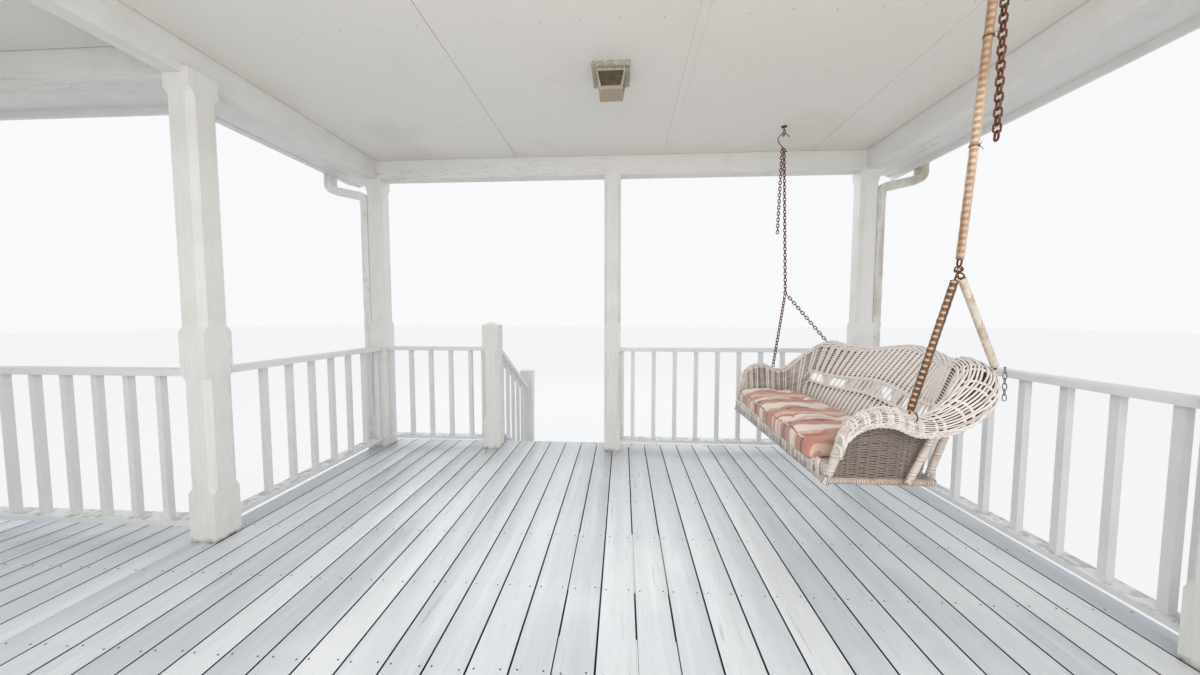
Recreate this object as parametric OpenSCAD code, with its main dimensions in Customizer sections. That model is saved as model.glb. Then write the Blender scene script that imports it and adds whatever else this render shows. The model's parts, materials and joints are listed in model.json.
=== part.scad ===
// Front porch: a raised timber deck with a set-back left wing, stopped-chamfer posts, square-baluster
// railings, a front stair, a gabled roof with a lean-to over the wing, and a hanging wicker swing seat.
// Local plan before framing: x from the centre post (right is +), y from the house wall, z from the ground.

/* [Plan] */
// Deck surface above the ground
deck_h = 730; // [500:10:900]
// Centre post to each front corner post
bay_w = 2106; // [1800:2:2600]
// House wall to the line of the front posts
main_d = 3881; // [3400:1:4600]
// House wall to the line of the wing posts
wing_d = 2376; // [2100:2:2900]
// Inner corner post to wing corner post
wing_w = 2600; // [2000:10:3200]
// House wall to the middle post of the right side
side_post_y = 1798; // [1300:2:2100]
// Centre post to upper stair newel, centres
newel_x = 1080; // [950:10:1300]
// Deck edge beyond the post line at the fronts
deck_lip = 165; // [120:5:200]
// Deck edge beyond the post line at the sides
side_lip = 70; // [40:2:75]

/* [Posts] */
// Post size
post_w = 140; // [114:2:165]
// Leg of the stopped chamfers
chamfer = 25; // [15:1:45]
// Length of a pointed chamfer stop
stop_len = 32; // [20:1:60]
// Plain block at the foot
foot_block = 257; // [180:1:320]
// Foot of the plain block behind the rail
rail_block_lo = 895; // [800:5:1000]
// Head of the plain block behind the rail
rail_block_hi = 1108; // [1050:2:1250]
// Plain block under the beam
head_block = 65; // [40:5:200]
// Stand of the newels
newel_h = 1110; // [1000:5:1300]
// Stand of the lower newels above the ground
low_newel_h = 1250; // [1000:5:1400]
// Rise of a newel's pyramid cap
newel_cap = 25; // [10:1:60]

/* [Beams and ceiling] */
// Beam underside above the deck
beam_z = 2385; // [2200:5:2800]
// Beam depth
beam_h = 184; // [140:2:240]
// Front beam width
beam_w = 116; // [90:2:140]
// Width of the side and wing beams, flush outside
side_beam_w = 90; // [76:2:140]
// Post lip standing up beside the beam
post_lip = 28; // [0:1:60]
// Beam face seen below the ceiling
beam_show = 158; // [120:1:180]
// Ceiling sheet
sheet_t = 12; // [6:1:20]
// Furring strip width
furring_w = 60; // [40:2:90]

/* [Railings] */
// Top of the rail above the deck
rail_h = 912; // [850:2:1070]
// Rail width
rail_w = 89; // [70:1:120]
// Top rail thickness
top_rail_t = 33; // [25:1:45]
// Bottom rail thickness
low_rail_t = 26; // [20:1:45]
// Clear space under the bottom rail
rail_gap = 74; // [60:1:120]
// Baluster size
baluster_w = 32; // [28:1:45]
// Baluster pitch
baluster_pitch = 184; // [100:2:200]

/* [Deck] */
// Deck board thickness
board_t = 25; // [20:1:38]
// Framing timber thickness
joist_t = 38; // [32:1:50]
// Joist and rim depth
joist_d = 184; // [140:2:240]
// Joist spacing
joist_pitch = 406; // [300:2:600]
// Deck boards past the rim
board_nose = 25; // [0:1:40]
// Floor beam width
sill_w = 114; // [76:2:140]
// Floor beam depth
sill_h = 140; // [120:2:190]
// Wall side of the deck to the nearest pier
pier_back = 20; // [10:5:100]
// Pier size at the top
pier_w = 260; // [200:5:360]

/* [Stair] */
// Going of one step
tread_run = 275; // [250:1:360]
// Stringer depth below the top seat, upright
stringer_d = 250; // [180:5:350]
// Tread thickness
tread_t = 38; // [25:1:50]
// Tread past its riser
tread_nose = 25; // [0:1:40]
// Eased edge of treads
edge_ease = 6; // [1:1:12]
// Riser thickness
riser_t = 20; // [15:1:30]
// Number of treads below the deck
treads = 4; // [4:1:4]
// Stair rail top below the level rail where it starts
stair_rail_drop = 0; // [0:5:120]
// Stair bottom rail above the deck where it starts
stair_low_rail = 97; // [60:1:160]

/* [Roof] */
// Main roof rise per unit of run
main_slope = 0.4167; // [0.25:0.0001:0.75]
// Wing roof rise per unit of run
wing_slope = 0.25; // [0.15:0.01:0.35]
// Main eaves past the beams
eave = 320; // [200:10:450]
// Wing front eave past the beam
wing_eave = 270; // [200:10:450]
// Front verge past the beam
verge = 250; // [100:10:400]
// Rafter depth
rafter_d = 140; // [90:2:190]
// Rafter spacing
rafter_pitch = 610; // [400:5:800]
// Roof covering with boarding
roof_t = 38; // [25:1:60]
// Play between rafters and covering
roof_gap = 0.5; // [0.2:0.1:2]
// Soffit above the beam underside
soffit_up = 62; // [20:2:90]
// Fascia thickness
fascia_t = 20; // [15:1:30]
// Fascia depth
fascia_h = 150; // [120:2:200]
// Depth of the fascia at the right eave and at the wing's eave
low_fascia_h = 184; // [120:2:220]
// Ridge board depth
ridge_h = 184; // [140:2:240]
// Ridge board below the rafters' upper edges
ridge_down = 16; // [5:1:40]
// First rafter from the house wall
rafter_start = 20; // [5:5:60]
// Soffit thickness
soffit_t = 10; // [6:1:16]
// Gable boarding thickness
gable_t = 20; // [15:1:30]
// Lap board exposure on the gables
lap_h = 115; // [90:5:180]

/* [Rainwater] */
// Gutter width at the lip
gutter_w = 122; // [90:2:150]
// Gutter height
gutter_h = 90; // [70:2:120]
// Gutter wall
gutter_t = 3; // [2:0.5:5]
// Gutter lip below the roof's edge
gutter_drop = 40; // [15:5:60]
// Downspout along the rail line
spout_w = 82; // [60:2:100]
// Downspout away from the post
spout_d = 62; // [40:2:76]
// Play between post and downspout
spout_gap = 6; // [5:1:12]
// Elbow radius to the middle of the downspout
spout_bend = 62; // [50:1:90]
// Straight neck under the gutter
spout_neck = 88; // [12:1:140]
// Turn of the two upper elbows
spout_turn = 78; // [45:1:82]
// Turn of the foot elbow
kick_turn = 52; // [30:1:70]
// Foot elbow above the ground
kick_z = 150; // [120:5:300]
// Crimp ridge height
crimp = 2; // [1:0.5:4]
// Strap width
strap_w = 30; // [15:5:50]
// Strap thickness
strap_t = 2; // [1:0.5:4]

/* [Ceiling light] */
// Canopy side
canopy_w = 205; // [160:5:260]
// Canopy depth
canopy_h = 28; // [15:1:40]
// Lantern side at the top
lamp_top = 160; // [140:2:220]
// Lantern side at the foot
lamp_foot = 124; // [90:2:160]
// Lantern depth
lamp_h = 97; // [80:1:200]
// Bar width
lamp_bar = 9; // [6:1:14]
// Lantern base thickness
lamp_base = 8; // [5:1:12]
// Pane thickness
pane_t = 4; // [3:0.5:5]
// Bulb holder diameter
holder_d = 32; // [26:1:40]
// Bulb holder length
holder_h = 36; // [25:1:45]
// Bulb size
bulb_d = 44; // [36:1:48]
// Light right of the centre post
light_x = 20; // [-300:10:300]
// Distance of the light from the house wall
light_y = 2690; // [1500:10:3200]

/* [Swing] */
// Hinge line inside the line of the right posts
swing_in = 871; // [700:1:1000]
// Middle of the swing from the house wall
swing_y = 2575; // [2000:10:3000]
// Hook spacing
hook_span = 1620; // [1300:10:1900]
// Hook eye below the ceiling
hook_drop = 46; // [36:1:80]
// Hook eye radius to the wire centre
hook_r = 20; // [18:1:30]
// Hook eye wire
hook_wire = 7; // [5:0.5:8]
// Plate over a hook
hook_plate = 40; // [30:1:60]
// Thickness of a plate
plate_t = 5; // [3:1:8]
// Drop of an open hook from the eye to the chain
open_drop = 115; // [90:5:160]
// Sway of an open hook to each side
open_sway = 42; // [30:1:55]
// Wire of an open hook
open_wire = 6; // [5:0.5:7]
// Loose chain end below an open hook
tail_len = 610; // [300:10:800]
// Loose chain end thinner than the chain by
tail_less = 2; // [1:0.5:3]
// Wire and ring thickness
wire_d = 7; // [5:0.5:14]
// Rings above the deck
ring_z = 1355; // [1200:5:1700]
// Hangers drawn in at the rings
ring_in = 100; // [0:5:200]
// Ring radius
ring_r = 12; // [10:1:35]
// Chain sleeve diameter
sleeve_d = 25; // [18:1:40]
// Bare chain thickness
chain_d = 11; // [8:1:16]
// Bare chain left at a sleeve's end
bare_end = 20; // [10:5:90]
// Front leg's foot before the hinge line
leg_front = 95; // [60:5:200]
// Outer length of the woven seat
seat_len = 1290; // [1100:10:1700]
// Foot of the woven sides in from the outer length
side_tuck = 60; // [40:5:90]
// Bottom frame above the deck
seat_z = 555; // [450:5:650]
// Front of the bottom frame before the hinge line
seat_front = 355; // [300:10:500]
// Back of the bottom frame behind the hinge line
seat_back = 50; // [-50:10:150]
// Wrapped rail diameter
cane_d = 30; // [24:1:44]
// Woven seat deck above the bottom frame
seat_rise = 65; // [40:1:90]
// Weave thickness
weave_t = 22; // [10:1:24]
// Thickness of the woven seat deck
seat_t = 9; // [6:1:16]
// Arm height above the bottom frame
arm_rise = 290; // [220:5:340]
// Arm height lost at its front end
arm_drop = 150; // [60:5:180]
// Length of the curl at the front of an arm
arm_curl = 150; // [80:5:220]
// Dip of an arm before the back
arm_dip = 35; // [0:5:60]
// Back height above the bottom frame at the middle hump
back_rise = 495; // [380:5:600]
// Rise of the humps along the back
hump_h = 20; // [0:1:40]
// Middle of the back to a dip
hump_run = 335; // [200:5:400]
// Lean of the back at its top in the middle
back_lean = 290; // [150:5:420]
// Lean that the back loses towards its corners
back_taper = 165; // [0:5:220]
// How soon a corner takes the arm's form
corner_power = 2.45; // [1:0.05:4]
// Lean of the arms at their tops
arm_lean = 35; // [0:5:90]
// Radius of the rolled edge on the arms
arm_roll = 33; // [24:1:60]
// Radius of the rolled edge on the back
back_roll = 52; // [30:1:70]
// Extra roll radius at the back corners
corner_roll = 14; // [0:1:40]
// Radius of the rolled edge at the front ends
front_roll = 24; // [18:1:30]
// Plan radius of the back corners
corner_r = 110; // [60:5:160]
// Back frame post spacing aimed at
back_post_pitch = 300; // [200:10:400]
// Foot of an arm's middle post before the hinge line
mid_post = 68; // [30:2:120]
// Cushion thickness
cushion_t = 85; // [60:5:140]
// Cushion past the front of the frame
cushion_nose = 100; // [0:5:130]
// Corner radius of the cushion's front
cushion_r = 34; // [20:2:50]
// Play between the cushion and the woven sides
cushion_play = 8; // [4:1:15]

/* [Hidden] */

WHITE = [0.90, 0.90, 0.88];
TIMBER = [0.62, 0.52, 0.40];
PAINTED_DECK = [0.50, 0.57, 0.63];
CONCRETE = [0.62, 0.61, 0.58];
SHINGLE = [0.30, 0.30, 0.31];
BRONZE = [0.36, 0.30, 0.24];
AMBER = [0.70, 0.45, 0.20];
STEEL = [0.45, 0.40, 0.36];
WICKER = [0.45, 0.28, 0.16];
CLOTH = [0.68, 0.40, 0.28];
SLEEVE = [0.86, 0.82, 0.72];
CEIL = [0.88, 0.86, 0.80];

half = post_w / 2;
swing_x = bay_w - swing_in;
bw = beam_w / 2;
wing_x = -(bay_w + wing_w);
newel_cx = -newel_x;
right_eave_x = bay_w + bw + eave;
left_eave_x = -right_eave_x;
wing_eave_x = wing_x - bw - eave;
wing_eave_y = wing_d + bw + wing_eave;
front_y = main_d + bw + verge;
gutter_out = fascia_t + gutter_w;
stair_foot_y = main_d + deck_lip - board_nose + treads * tread_run;
newel_low_y = stair_foot_y + tread_nose;
plan_x0 = wing_eave_x;
plan_x1 = right_eave_x + gutter_out;
plan_y1 = newel_low_y + half;
mid_x = (plan_x0 + plan_x1) / 2;
mid_y = plan_y1 / 2;

beam_lo = deck_h + beam_z;
beam_top = beam_lo + beam_h;
ceil_z = beam_lo + beam_show;
rim_z = deck_h - board_t - joist_d;
sill_z = rim_z - sill_h;
soffit_z = beam_lo + soffit_up;
eave_lo = beam_top - eave * main_slope;
main_eave_top = eave_lo + rafter_d * sqrt(1 + main_slope * main_slope);
ridge_under = main_eave_top + right_eave_x * main_slope;
roof_up = roof_t * sqrt(1 + main_slope * main_slope);
wing_up = roof_t * sqrt(1 + wing_slope * wing_slope);
step = deck_h / (treads + 1);
side_in = side_beam_w - bw;
side_rim = side_lip - board_nose;
rim_face_y = main_d + deck_lip - board_nose;
axis_z = ceil_z - hook_drop;
lamp_z = -canopy_h - lamp_h;
bottom_z = deck_h + seat_z;
ring_abs = deck_h + ring_z;

module framed() translate([-mid_x, -mid_y, 0]) children();

module block(x0, x1, y0, y1, z0, z1)
    translate([x0, y0, z0]) cube([x1 - x0, y1 - y0, z1 - z0]);

// A wedge that takes one stopped chamfer off all four edges between two heights.
module chamfer_cut(z0, z1) {
    deep = (post_w - chamfer) / sqrt(2);
    edge = post_w / sqrt(2);
    far = edge + chamfer;
    run_out = stop_len * (far - edge) / (edge - deep);
    for (a = [45 : 90 : 315])
        rotate([0, 0, a]) rotate([90, 0, 0])
            linear_extrude(height = post_w, center = true)
                polygon([[deep, z0 + stop_len], [deep, z1 - stop_len],
                         [far, z1 + run_out], [far, z0 - run_out]]);
}

module post_shaft(h, upper) {
    difference() {
        translate([-half, -half, 0]) cube([post_w, post_w, h]);
        chamfer_cut(foot_block, rail_block_lo);
        if (upper)
            chamfer_cut(rail_block_hi, beam_z - head_block);
    }
}

module porch_post(x, y) {
    difference() {
        translate([x, y, deck_h]) post_shaft(beam_z + post_lip, true);
        beam_solids();
    }
}

module newel(x, y, z0, tall) {
    translate([x, y, z0]) {
        post_shaft(tall, false);
        translate([0, 0, tall]) newel_top();
    }
}

module newel_top()
    intersection_for(a = [0, 90])
        rotate([90, 0, a]) linear_extrude(height = post_w, center = true)
            polygon([[-half, 0], [half, 0], [0, newel_cap]]);

module beam_front_solid()
    block(-bay_w - bw, bay_w + bw, main_d - bw, main_d + bw, beam_lo, beam_top);

module beam_wing_front_solid()
    block(wing_x - bw, -bay_w - bw, wing_d - side_in, wing_d + bw, beam_lo, beam_top);

// A side beam back to the wall, its outer face flush with the ends of the front beams.
module beam_side_solid(x, y1)
    block(x < 0 ? x - bw : x - side_in, x < 0 ? x + side_in : x + bw, 0, y1, beam_lo, beam_top);

module beam_solids() {
    beam_front_solid();
    beam_wing_front_solid();
    beam_side_solid(-bay_w, main_d - bw);
    beam_side_solid(bay_w, main_d - bw);
    beam_side_solid(wing_x, wing_d - side_in);
}

// A railing panel along +x from a post face, with an end baluster against each post. The others are set out
// from one end, the far one if from_far, so that the odd space lies at the other.
module railing_panel(len, from_far) {
    low = rail_gap;
    last = floor((len - 3 * baluster_w) / baluster_pitch);
    translate([0, -rail_w / 2, rail_h - top_rail_t]) cube([len, rail_w, top_rail_t]);
    translate([0, -rail_w / 2, low]) cube([len, rail_w, low_rail_t]);
    for (at = concat([for (i = [0 : last]) i * baluster_pitch], [len - baluster_w]))
        translate([from_far ? len - baluster_w - at : at, -baluster_w / 2, low + low_rail_t])
            cube([baluster_w, baluster_w, rail_h - top_rail_t - low - low_rail_t]);
}

module railing_x(x0, x1, y, from_far)
    translate([x0, y, deck_h]) railing_panel(x1 - x0, from_far);

module railing_y(x, y0, y1, from_far)
    translate([x, y0, deck_h]) rotate([0, 0, 90]) railing_panel(y1 - y0, from_far);

module floor_outline(inset) {
    polygon([[-bay_w - side_lip + inset, main_d + deck_lip - inset],
             [bay_w + side_lip - inset, main_d + deck_lip - inset],
             [bay_w + side_lip - inset, 0],
             [wing_x - side_lip + inset, 0],
             [wing_x - side_lip + inset, wing_d + deck_lip - inset],
             [-bay_w - side_lip + inset, wing_d + deck_lip - inset]]);
}

// Lines of piers and floor beams: post line, length, and the side whose rim they keep flush with.
function sill_lines() = [[wing_x, wing_d, -1], [(wing_x - bay_w) / 2, wing_d, 0], [-bay_w, main_d, -1],
                         [0, main_d, 0], [bay_w, main_d, 1]];

// Middle of something of width w on such a line.
function line_x(s, w) = s[2] == 0 ? s[0] : s[0] + s[2] * (side_rim - w / 2);

module piers() color(CONCRETE) framed() {
    near = pier_w / 2 + pier_back;
    for (s = sill_lines())
        for (y = s[1] > wing_d ? [near, s[1] / 2, s[1]] : [near, s[1]])
            translate([line_x(s, pier_w) - pier_w / 2, y - pier_w / 2, 0]) cube([pier_w, pier_w, sill_z]);
}

module ledger() color(TIMBER) framed()
    block(wing_x - side_rim, bay_w + side_rim, 0, joist_t, rim_z, rim_z + joist_d);

module rim_boards() color(WHITE) framed()
    translate([0, 0, rim_z]) linear_extrude(height = joist_d) difference() {
        floor_outline(board_nose);
        floor_outline(board_nose + joist_t);
        translate([wing_x - bay_w, 0]) square([bay_w * 4 + wing_w, joist_t]);
    }

module floor_beams() color(TIMBER) framed()
    for (s = sill_lines())
        block(line_x(s, sill_w) - sill_w / 2, line_x(s, sill_w) + sill_w / 2,
              joist_t, s[1] + half, sill_z, rim_z);

module floor_joists() color(TIMBER) framed() {
    far = main_d + deck_lip - board_nose - joist_t;
    wing_far = wing_d + deck_lip - board_nose - joist_t;
    right = bay_w + side_rim - joist_t;
    count = floor((far - joist_t) / joist_pitch);
    for (i = [1 : count]) {
        y = joist_t + i * joist_pitch;
        left = (y + joist_t < wing_far ? wing_x : -bay_w) - side_rim + joist_t;
        if (y + joist_t < far && !(y + joist_t >= wing_far && y < wing_far + joist_t))
            block(left, right, y, y + joist_t, rim_z, rim_z + joist_d);
    }
}

module deck() color(PAINTED_DECK) framed()
    translate([0, 0, deck_h - board_t]) linear_extrude(height = board_t) floor_outline(0);

stair_x0 = newel_cx + half;
stair_x1 = -half;

// A cut stringer: level seats for the treads, plumb faces for the risers, and a slant underside.
module stringer(x) {
    y0 = rim_face_y;
    slope = step / tread_run;
    seats = [for (k = [1 : treads])
        let (z = deck_h - k * step - tread_t)
            each [[y0 + (k - 1) * tread_run - (k > 1 ? riser_t : 0), z], [y0 + k * tread_run - riser_t, z]]];
    back = deck_h - step - tread_t - stringer_d;
    translate([x, 0, 0]) rotate([90, 0, 90]) linear_extrude(height = joist_t)
        polygon(concat(seats,
                       [[y0 + treads * tread_run - riser_t, 0], [y0 + back / slope, 0], [y0, back]]));
}

module stair_stringers() color(WHITE) framed() {
    stringer(stair_x0);
    stringer((stair_x0 + stair_x1) / 2 - joist_t / 2);
    stringer(stair_x1 - joist_t);
}

module tread(k) {
    y0 = rim_face_y + (k - 1) * tread_run;
    top = deck_h - k * step;
    nose_y = y0 + tread_run + tread_nose;
    translate([stair_x0, 0, 0]) rotate([90, 0, 90]) linear_extrude(height = stair_x1 - stair_x0)
        polygon([[y0, top - tread_t], [nose_y - edge_ease, top - tread_t],
                 [nose_y, top - tread_t + edge_ease], [nose_y, top - edge_ease],
                 [nose_y - edge_ease, top], [y0, top]]);
}

module tread_top() color(PAINTED_DECK) framed() tread(1);

module tread_upper() color(PAINTED_DECK) framed() tread(2);

module tread_lower() color(PAINTED_DECK) framed() tread(3);

module tread_bottom() color(PAINTED_DECK) framed() tread(4);

module risers() color(WHITE) framed()
    for (k = [1 : treads]) {
        y1 = rim_face_y + k * tread_run;
        block(stair_x0, stair_x1, y1 - riser_t, y1, k == treads ? 0 : deck_h - (k + 1) * step,
              deck_h - k * step - tread_t);
    }

module newel_upper() color(WHITE) framed() newel(newel_cx, main_d, deck_h, newel_h);

module newels_lower() color(WHITE) framed() {
    newel(newel_cx, newel_low_y, 0, low_newel_h);
    newel(0, newel_low_y, 0, low_newel_h);
}

// A sloped stair rail between two newel faces, balusters plumb.
module stair_rail(x) {
    y0 = main_d + half;
    y1 = newel_low_y - half;
    run = y1 - y0;
    slope = step / tread_run;
    top0 = deck_h + rail_h - stair_rail_drop;
    low0 = deck_h + stair_low_rail;
    bays = round(run / 200);
    t_up = top_rail_t * sqrt(1 + slope * slope);
    l_up = low_rail_t * sqrt(1 + slope * slope);
    translate([x + rail_w / 2, 0, 0]) rotate([90, 0, -90]) mirror([1, 0, 0]) {
        linear_extrude(height = rail_w)
            polygon([[y0, top0 - t_up], [y0, top0],
                     [y1, top0 - run * slope], [y1, top0 - run * slope - t_up]]);
        linear_extrude(height = rail_w)
            polygon([[y0, low0], [y0, low0 + l_up],
                     [y1, low0 + l_up - run * slope], [y1, low0 - run * slope]]);
        translate([0, 0, (rail_w - baluster_w) / 2]) linear_extrude(height = baluster_w)
            for (i = [1 : bays - 1]) {
                y = y0 + i * run / bays;
                drop0 = (y - baluster_w / 2 - y0) * slope;
                drop1 = (y + baluster_w / 2 - y0) * slope;
                a = y - baluster_w / 2;
                b = y + baluster_w / 2;
                polygon([[a, low0 + l_up - drop0], [a, top0 - t_up - drop0],
                         [b, top0 - t_up - drop1], [b, low0 + l_up - drop1]]);
            }
    }
}

module stair_rails() color(WHITE) framed() {
    stair_rail(newel_cx);
    stair_rail(0);
}

module posts_front() color(WHITE) framed() {
    porch_post(-bay_w, main_d);
    porch_post(0, main_d);
    porch_post(bay_w, main_d);
}

module posts_right() color(WHITE) framed() {
    porch_post(bay_w, side_post_y);
    porch_post(bay_w, half);
}

module posts_wing() color(WHITE) framed() {
    porch_post(-bay_w, wing_d);
    porch_post(wing_x, wing_d);
    porch_post(wing_x, half);
}

module railing_front_left() color(WHITE) framed()
    railing_x(-bay_w + half, newel_cx - half, main_d, false);

module railing_front_right() color(WHITE) framed()
    railing_x(half, bay_w - half, main_d, true);

module railing_right_front() color(WHITE) framed()
    railing_y(bay_w, side_post_y + half, main_d - half, true);

module railing_right_back() color(WHITE) framed()
    railing_y(bay_w, post_w, side_post_y - half, true);

module railing_left_side() color(WHITE) framed()
    railing_y(-bay_w, wing_d + half, main_d - half, true);

module railing_wing_front() color(WHITE) framed()
    railing_x(wing_x + half, -bay_w - half, wing_d, true);

module railing_wing_end() color(WHITE) framed()
    railing_y(wing_x, post_w, wing_d - half, true);

module beams_front() color(WHITE) framed() {
    beam_front_solid();
    beam_wing_front_solid();
}

module beams_side() color(WHITE) framed() {
    beam_side_solid(-bay_w, main_d - bw);
    beam_side_solid(bay_w, main_d - bw);
    beam_side_solid(wing_x, wing_d - side_in);
}

module ceiling_sheet(x0, x1, y1) {
    block(x0, x1, 0, y1, ceil_z, ceil_z + sheet_t);
    for (x = [x0 : (x1 - x0 - furring_w) / 5 : x1 - furring_w + 1])
        block(x, x + furring_w, 0, y1, ceil_z + sheet_t, beam_top);
}

module ceilings() color(CEIL) framed() {
    ceiling_sheet(-bay_w + side_in, bay_w - side_in, main_d - bw);
    ceiling_sheet(wing_x + side_in, -bay_w - bw, wing_d - side_in);
}

// Rafter pair with ceiling tie at one place along the ridge; the left tail stops at the beam over the wing.
module rafter_pair(y) {
    left = y < wing_eave_y ? -bay_w - bw : left_eave_x;
    top_r = main_eave_top;
    half_run = right_eave_x;
    tail_z = soffit_z + soffit_t + roof_gap;
    translate([0, y + joist_t, 0]) rotate([90, 0, 0]) linear_extrude(height = joist_t) difference() {
        polygon([[left, top_r + (left + half_run) * main_slope],
                 [0, ridge_under],
                 [half_run, top_r],
                 [half_run, eave_lo], [0, eave_lo + half_run * main_slope],
                 [left, eave_lo + (left + half_run) * main_slope]]);
        translate([-bay_w - bw, beam_lo]) square([side_beam_w, beam_h]);
        translate([bay_w - side_in, beam_lo]) square([side_beam_w, beam_h]);
        translate([-half_run, tail_z - beam_h]) square([eave, beam_h]);
        translate([bay_w + bw, tail_z - beam_h]) square([eave, beam_h]);
    }
    translate([0, y + 2 * joist_t, 0]) rotate([90, 0, 0]) linear_extrude(height = joist_t)
        intersection() {
            translate([-bay_w - bw, beam_top]) square([2 * bay_w + beam_w, rafter_d]);
            polygon([[left_eave_x, top_r], [0, ridge_under], [half_run, top_r]]);
        }
}

module wing_rafter(x) {
    low = beam_top - wing_eave * wing_slope;
    translate([x, 0, 0]) rotate([90, 0, 90]) linear_extrude(height = joist_t) difference() {
        polygon([[wing_eave_y, low], [wing_eave_y, main_eave_top],
                 [0, main_eave_top + wing_eave_y * wing_slope], [0, low + wing_eave_y * wing_slope]]);
        translate([wing_d - side_in, beam_lo]) square([side_beam_w, beam_h]);
    }
}

module roof_frame() color(TIMBER) framed() {
    count = floor((main_d + bw - 2 * joist_t) / rafter_pitch);
    for (i = [0 : count])
        rafter_pair(rafter_start + i * (main_d + bw - gable_t - 2 * joist_t - rafter_start) / count);
    block(-joist_t / 2, joist_t / 2, rafter_start, main_d + bw - gable_t,
          ridge_under - ridge_down - ridge_h, ridge_under - ridge_down);
    for (i = [0 : 3])
        wing_rafter(wing_x + bw + gable_t + i * (left_eave_x - wing_x - beam_w - 2 * gable_t) / 3);
}

module roof_main() color(SHINGLE) framed()
    translate([0, front_y, roof_gap]) rotate([90, 0, 0]) linear_extrude(height = front_y)
        polygon([[left_eave_x - fascia_t, main_eave_top - fascia_t * main_slope],
                 [left_eave_x - fascia_t, main_eave_top - fascia_t * main_slope + roof_up],
                 [0, ridge_under + roof_up],
                 [right_eave_x + fascia_t, main_eave_top - fascia_t * main_slope + roof_up],
                 [right_eave_x + fascia_t, main_eave_top - fascia_t * main_slope],
                 [0, ridge_under]]);

// The lean-to covering lies on the main slope and is cut off where the main slope rises through it.
module roof_wing() color(SHINGLE) framed() difference() {
    translate([wing_eave_x, 0, roof_gap]) rotate([90, 0, 90]) linear_extrude(height = bay_w * 2 + wing_w)
        polygon([[wing_eave_y + fascia_t, main_eave_top - fascia_t * wing_slope],
                 [wing_eave_y + fascia_t, main_eave_top - fascia_t * wing_slope + wing_up],
                 [0, main_eave_top + wing_eave_y * wing_slope + wing_up],
                 [0, main_eave_top + wing_eave_y * wing_slope]]);
    translate([0, front_y + 10, 2 * roof_gap]) rotate([90, 0, 0]) linear_extrude(height = front_y + 20)
        polygon([[left_eave_x - fascia_t, main_eave_top - 400],
                 [left_eave_x - fascia_t, main_eave_top - fascia_t * main_slope + roof_up],
                 [bay_w * 2, main_eave_top + roof_up + (bay_w * 2 - left_eave_x) * main_slope],
                 [bay_w * 2, main_eave_top - 400]]);
}

module gables() color(WHITE) framed() {
    difference() {
        translate([0, main_d + bw, 0]) rotate([90, 0, 0]) linear_extrude(height = gable_t)
            polygon([[-bay_w - bw, beam_top], [-bay_w - bw, main_eave_top + eave * main_slope],
                     [0, ridge_under],
                     [bay_w + bw, main_eave_top + eave * main_slope], [bay_w + bw, beam_top]]);
        for (z = [beam_top + lap_h : lap_h : ridge_under])
            block(-bay_w - bw - 1, bay_w + bw + 1, main_d + bw - 4, main_d + bw + 1, z, z + 7);
    }
    translate([wing_x - bw, 0, 0]) rotate([90, 0, 90]) linear_extrude(height = gable_t)
        polygon([[0, beam_top], [wing_d + bw, beam_top],
                 [wing_d + bw, main_eave_top + wing_eave * wing_slope],
                 [0, main_eave_top + wing_eave_y * wing_slope]]);
}

module barge_boards() color(WHITE) framed() {
    up = fascia_h * sqrt(1 + main_slope * main_slope);
    translate([0, front_y, 0]) rotate([90, 0, 0]) linear_extrude(height = fascia_t)
        polygon([[-right_eave_x, main_eave_top - up + 10], [-right_eave_x, main_eave_top],
                 [0, ridge_under], [right_eave_x, main_eave_top], [right_eave_x, main_eave_top - up + 10],
                 [0, ridge_under - up]]);
    wup = fascia_h * sqrt(1 + wing_slope * wing_slope);
    translate([wing_eave_x, 0, 0]) rotate([90, 0, 90]) linear_extrude(height = fascia_t)
        polygon([[0, main_eave_top + wing_eave_y * wing_slope - wup],
                 [0, main_eave_top + wing_eave_y * wing_slope],
                 [wing_eave_y, main_eave_top], [wing_eave_y, main_eave_top - wup]]);
}

// Eave box along +y: fascia board with a soffit board back to the beam.
module eave_box(x_beam, x_face, y0, y1, deep) {
    s = x_face > x_beam ? 1 : -1;
    lo = min(x_beam, x_face);
    block(lo, lo + abs(x_face - x_beam), y0, y1, soffit_z, soffit_z + soffit_t);
    block(min(x_face, x_face + s * fascia_t), max(x_face, x_face + s * fascia_t), y0, y1,
          main_eave_top - deep, main_eave_top - fascia_t * main_slope);
}

module eaves() color(WHITE) framed() {
    eave_box(bay_w + bw, right_eave_x, 0, front_y - fascia_t, low_fascia_h);
    eave_box(-bay_w - bw, left_eave_x, wing_eave_y, front_y - fascia_t, fascia_h);
    block(wing_eave_x + fascia_t, -bay_w - bw, wing_d + bw, wing_eave_y, soffit_z, soffit_z + soffit_t);
    block(wing_eave_x + fascia_t, left_eave_x - fascia_t, wing_eave_y, wing_eave_y + fascia_t,
          main_eave_top - low_fascia_h, main_eave_top - fascia_t * wing_slope);
}

// Front of the gutter's ogee as shares of its width and height, from the floor to the lip.
OGEE = [[0.62, 0], [0.70, 0.42], [0.88, 0.62], [1, 0.80]];

module gutter_profile() {
    outer = [for (q = OGEE) [gutter_w * q[0], gutter_h * q[1]]];
    inner = [for (q = OGEE) [gutter_w * q[0] - gutter_t, max(gutter_t, gutter_h * q[1] + gutter_t / 2)]];
    difference() {
        polygon(concat([[0, 0]], outer, [[gutter_w, gutter_h], [0, gutter_h]]));
        polygon(concat([[gutter_t, gutter_t]], inner,
                       [[gutter_w - gutter_t, gutter_h + gutter_t], [gutter_t, gutter_h + gutter_t]]));
    }
}

gutter_z = main_eave_top - gutter_drop - gutter_h;

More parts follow.
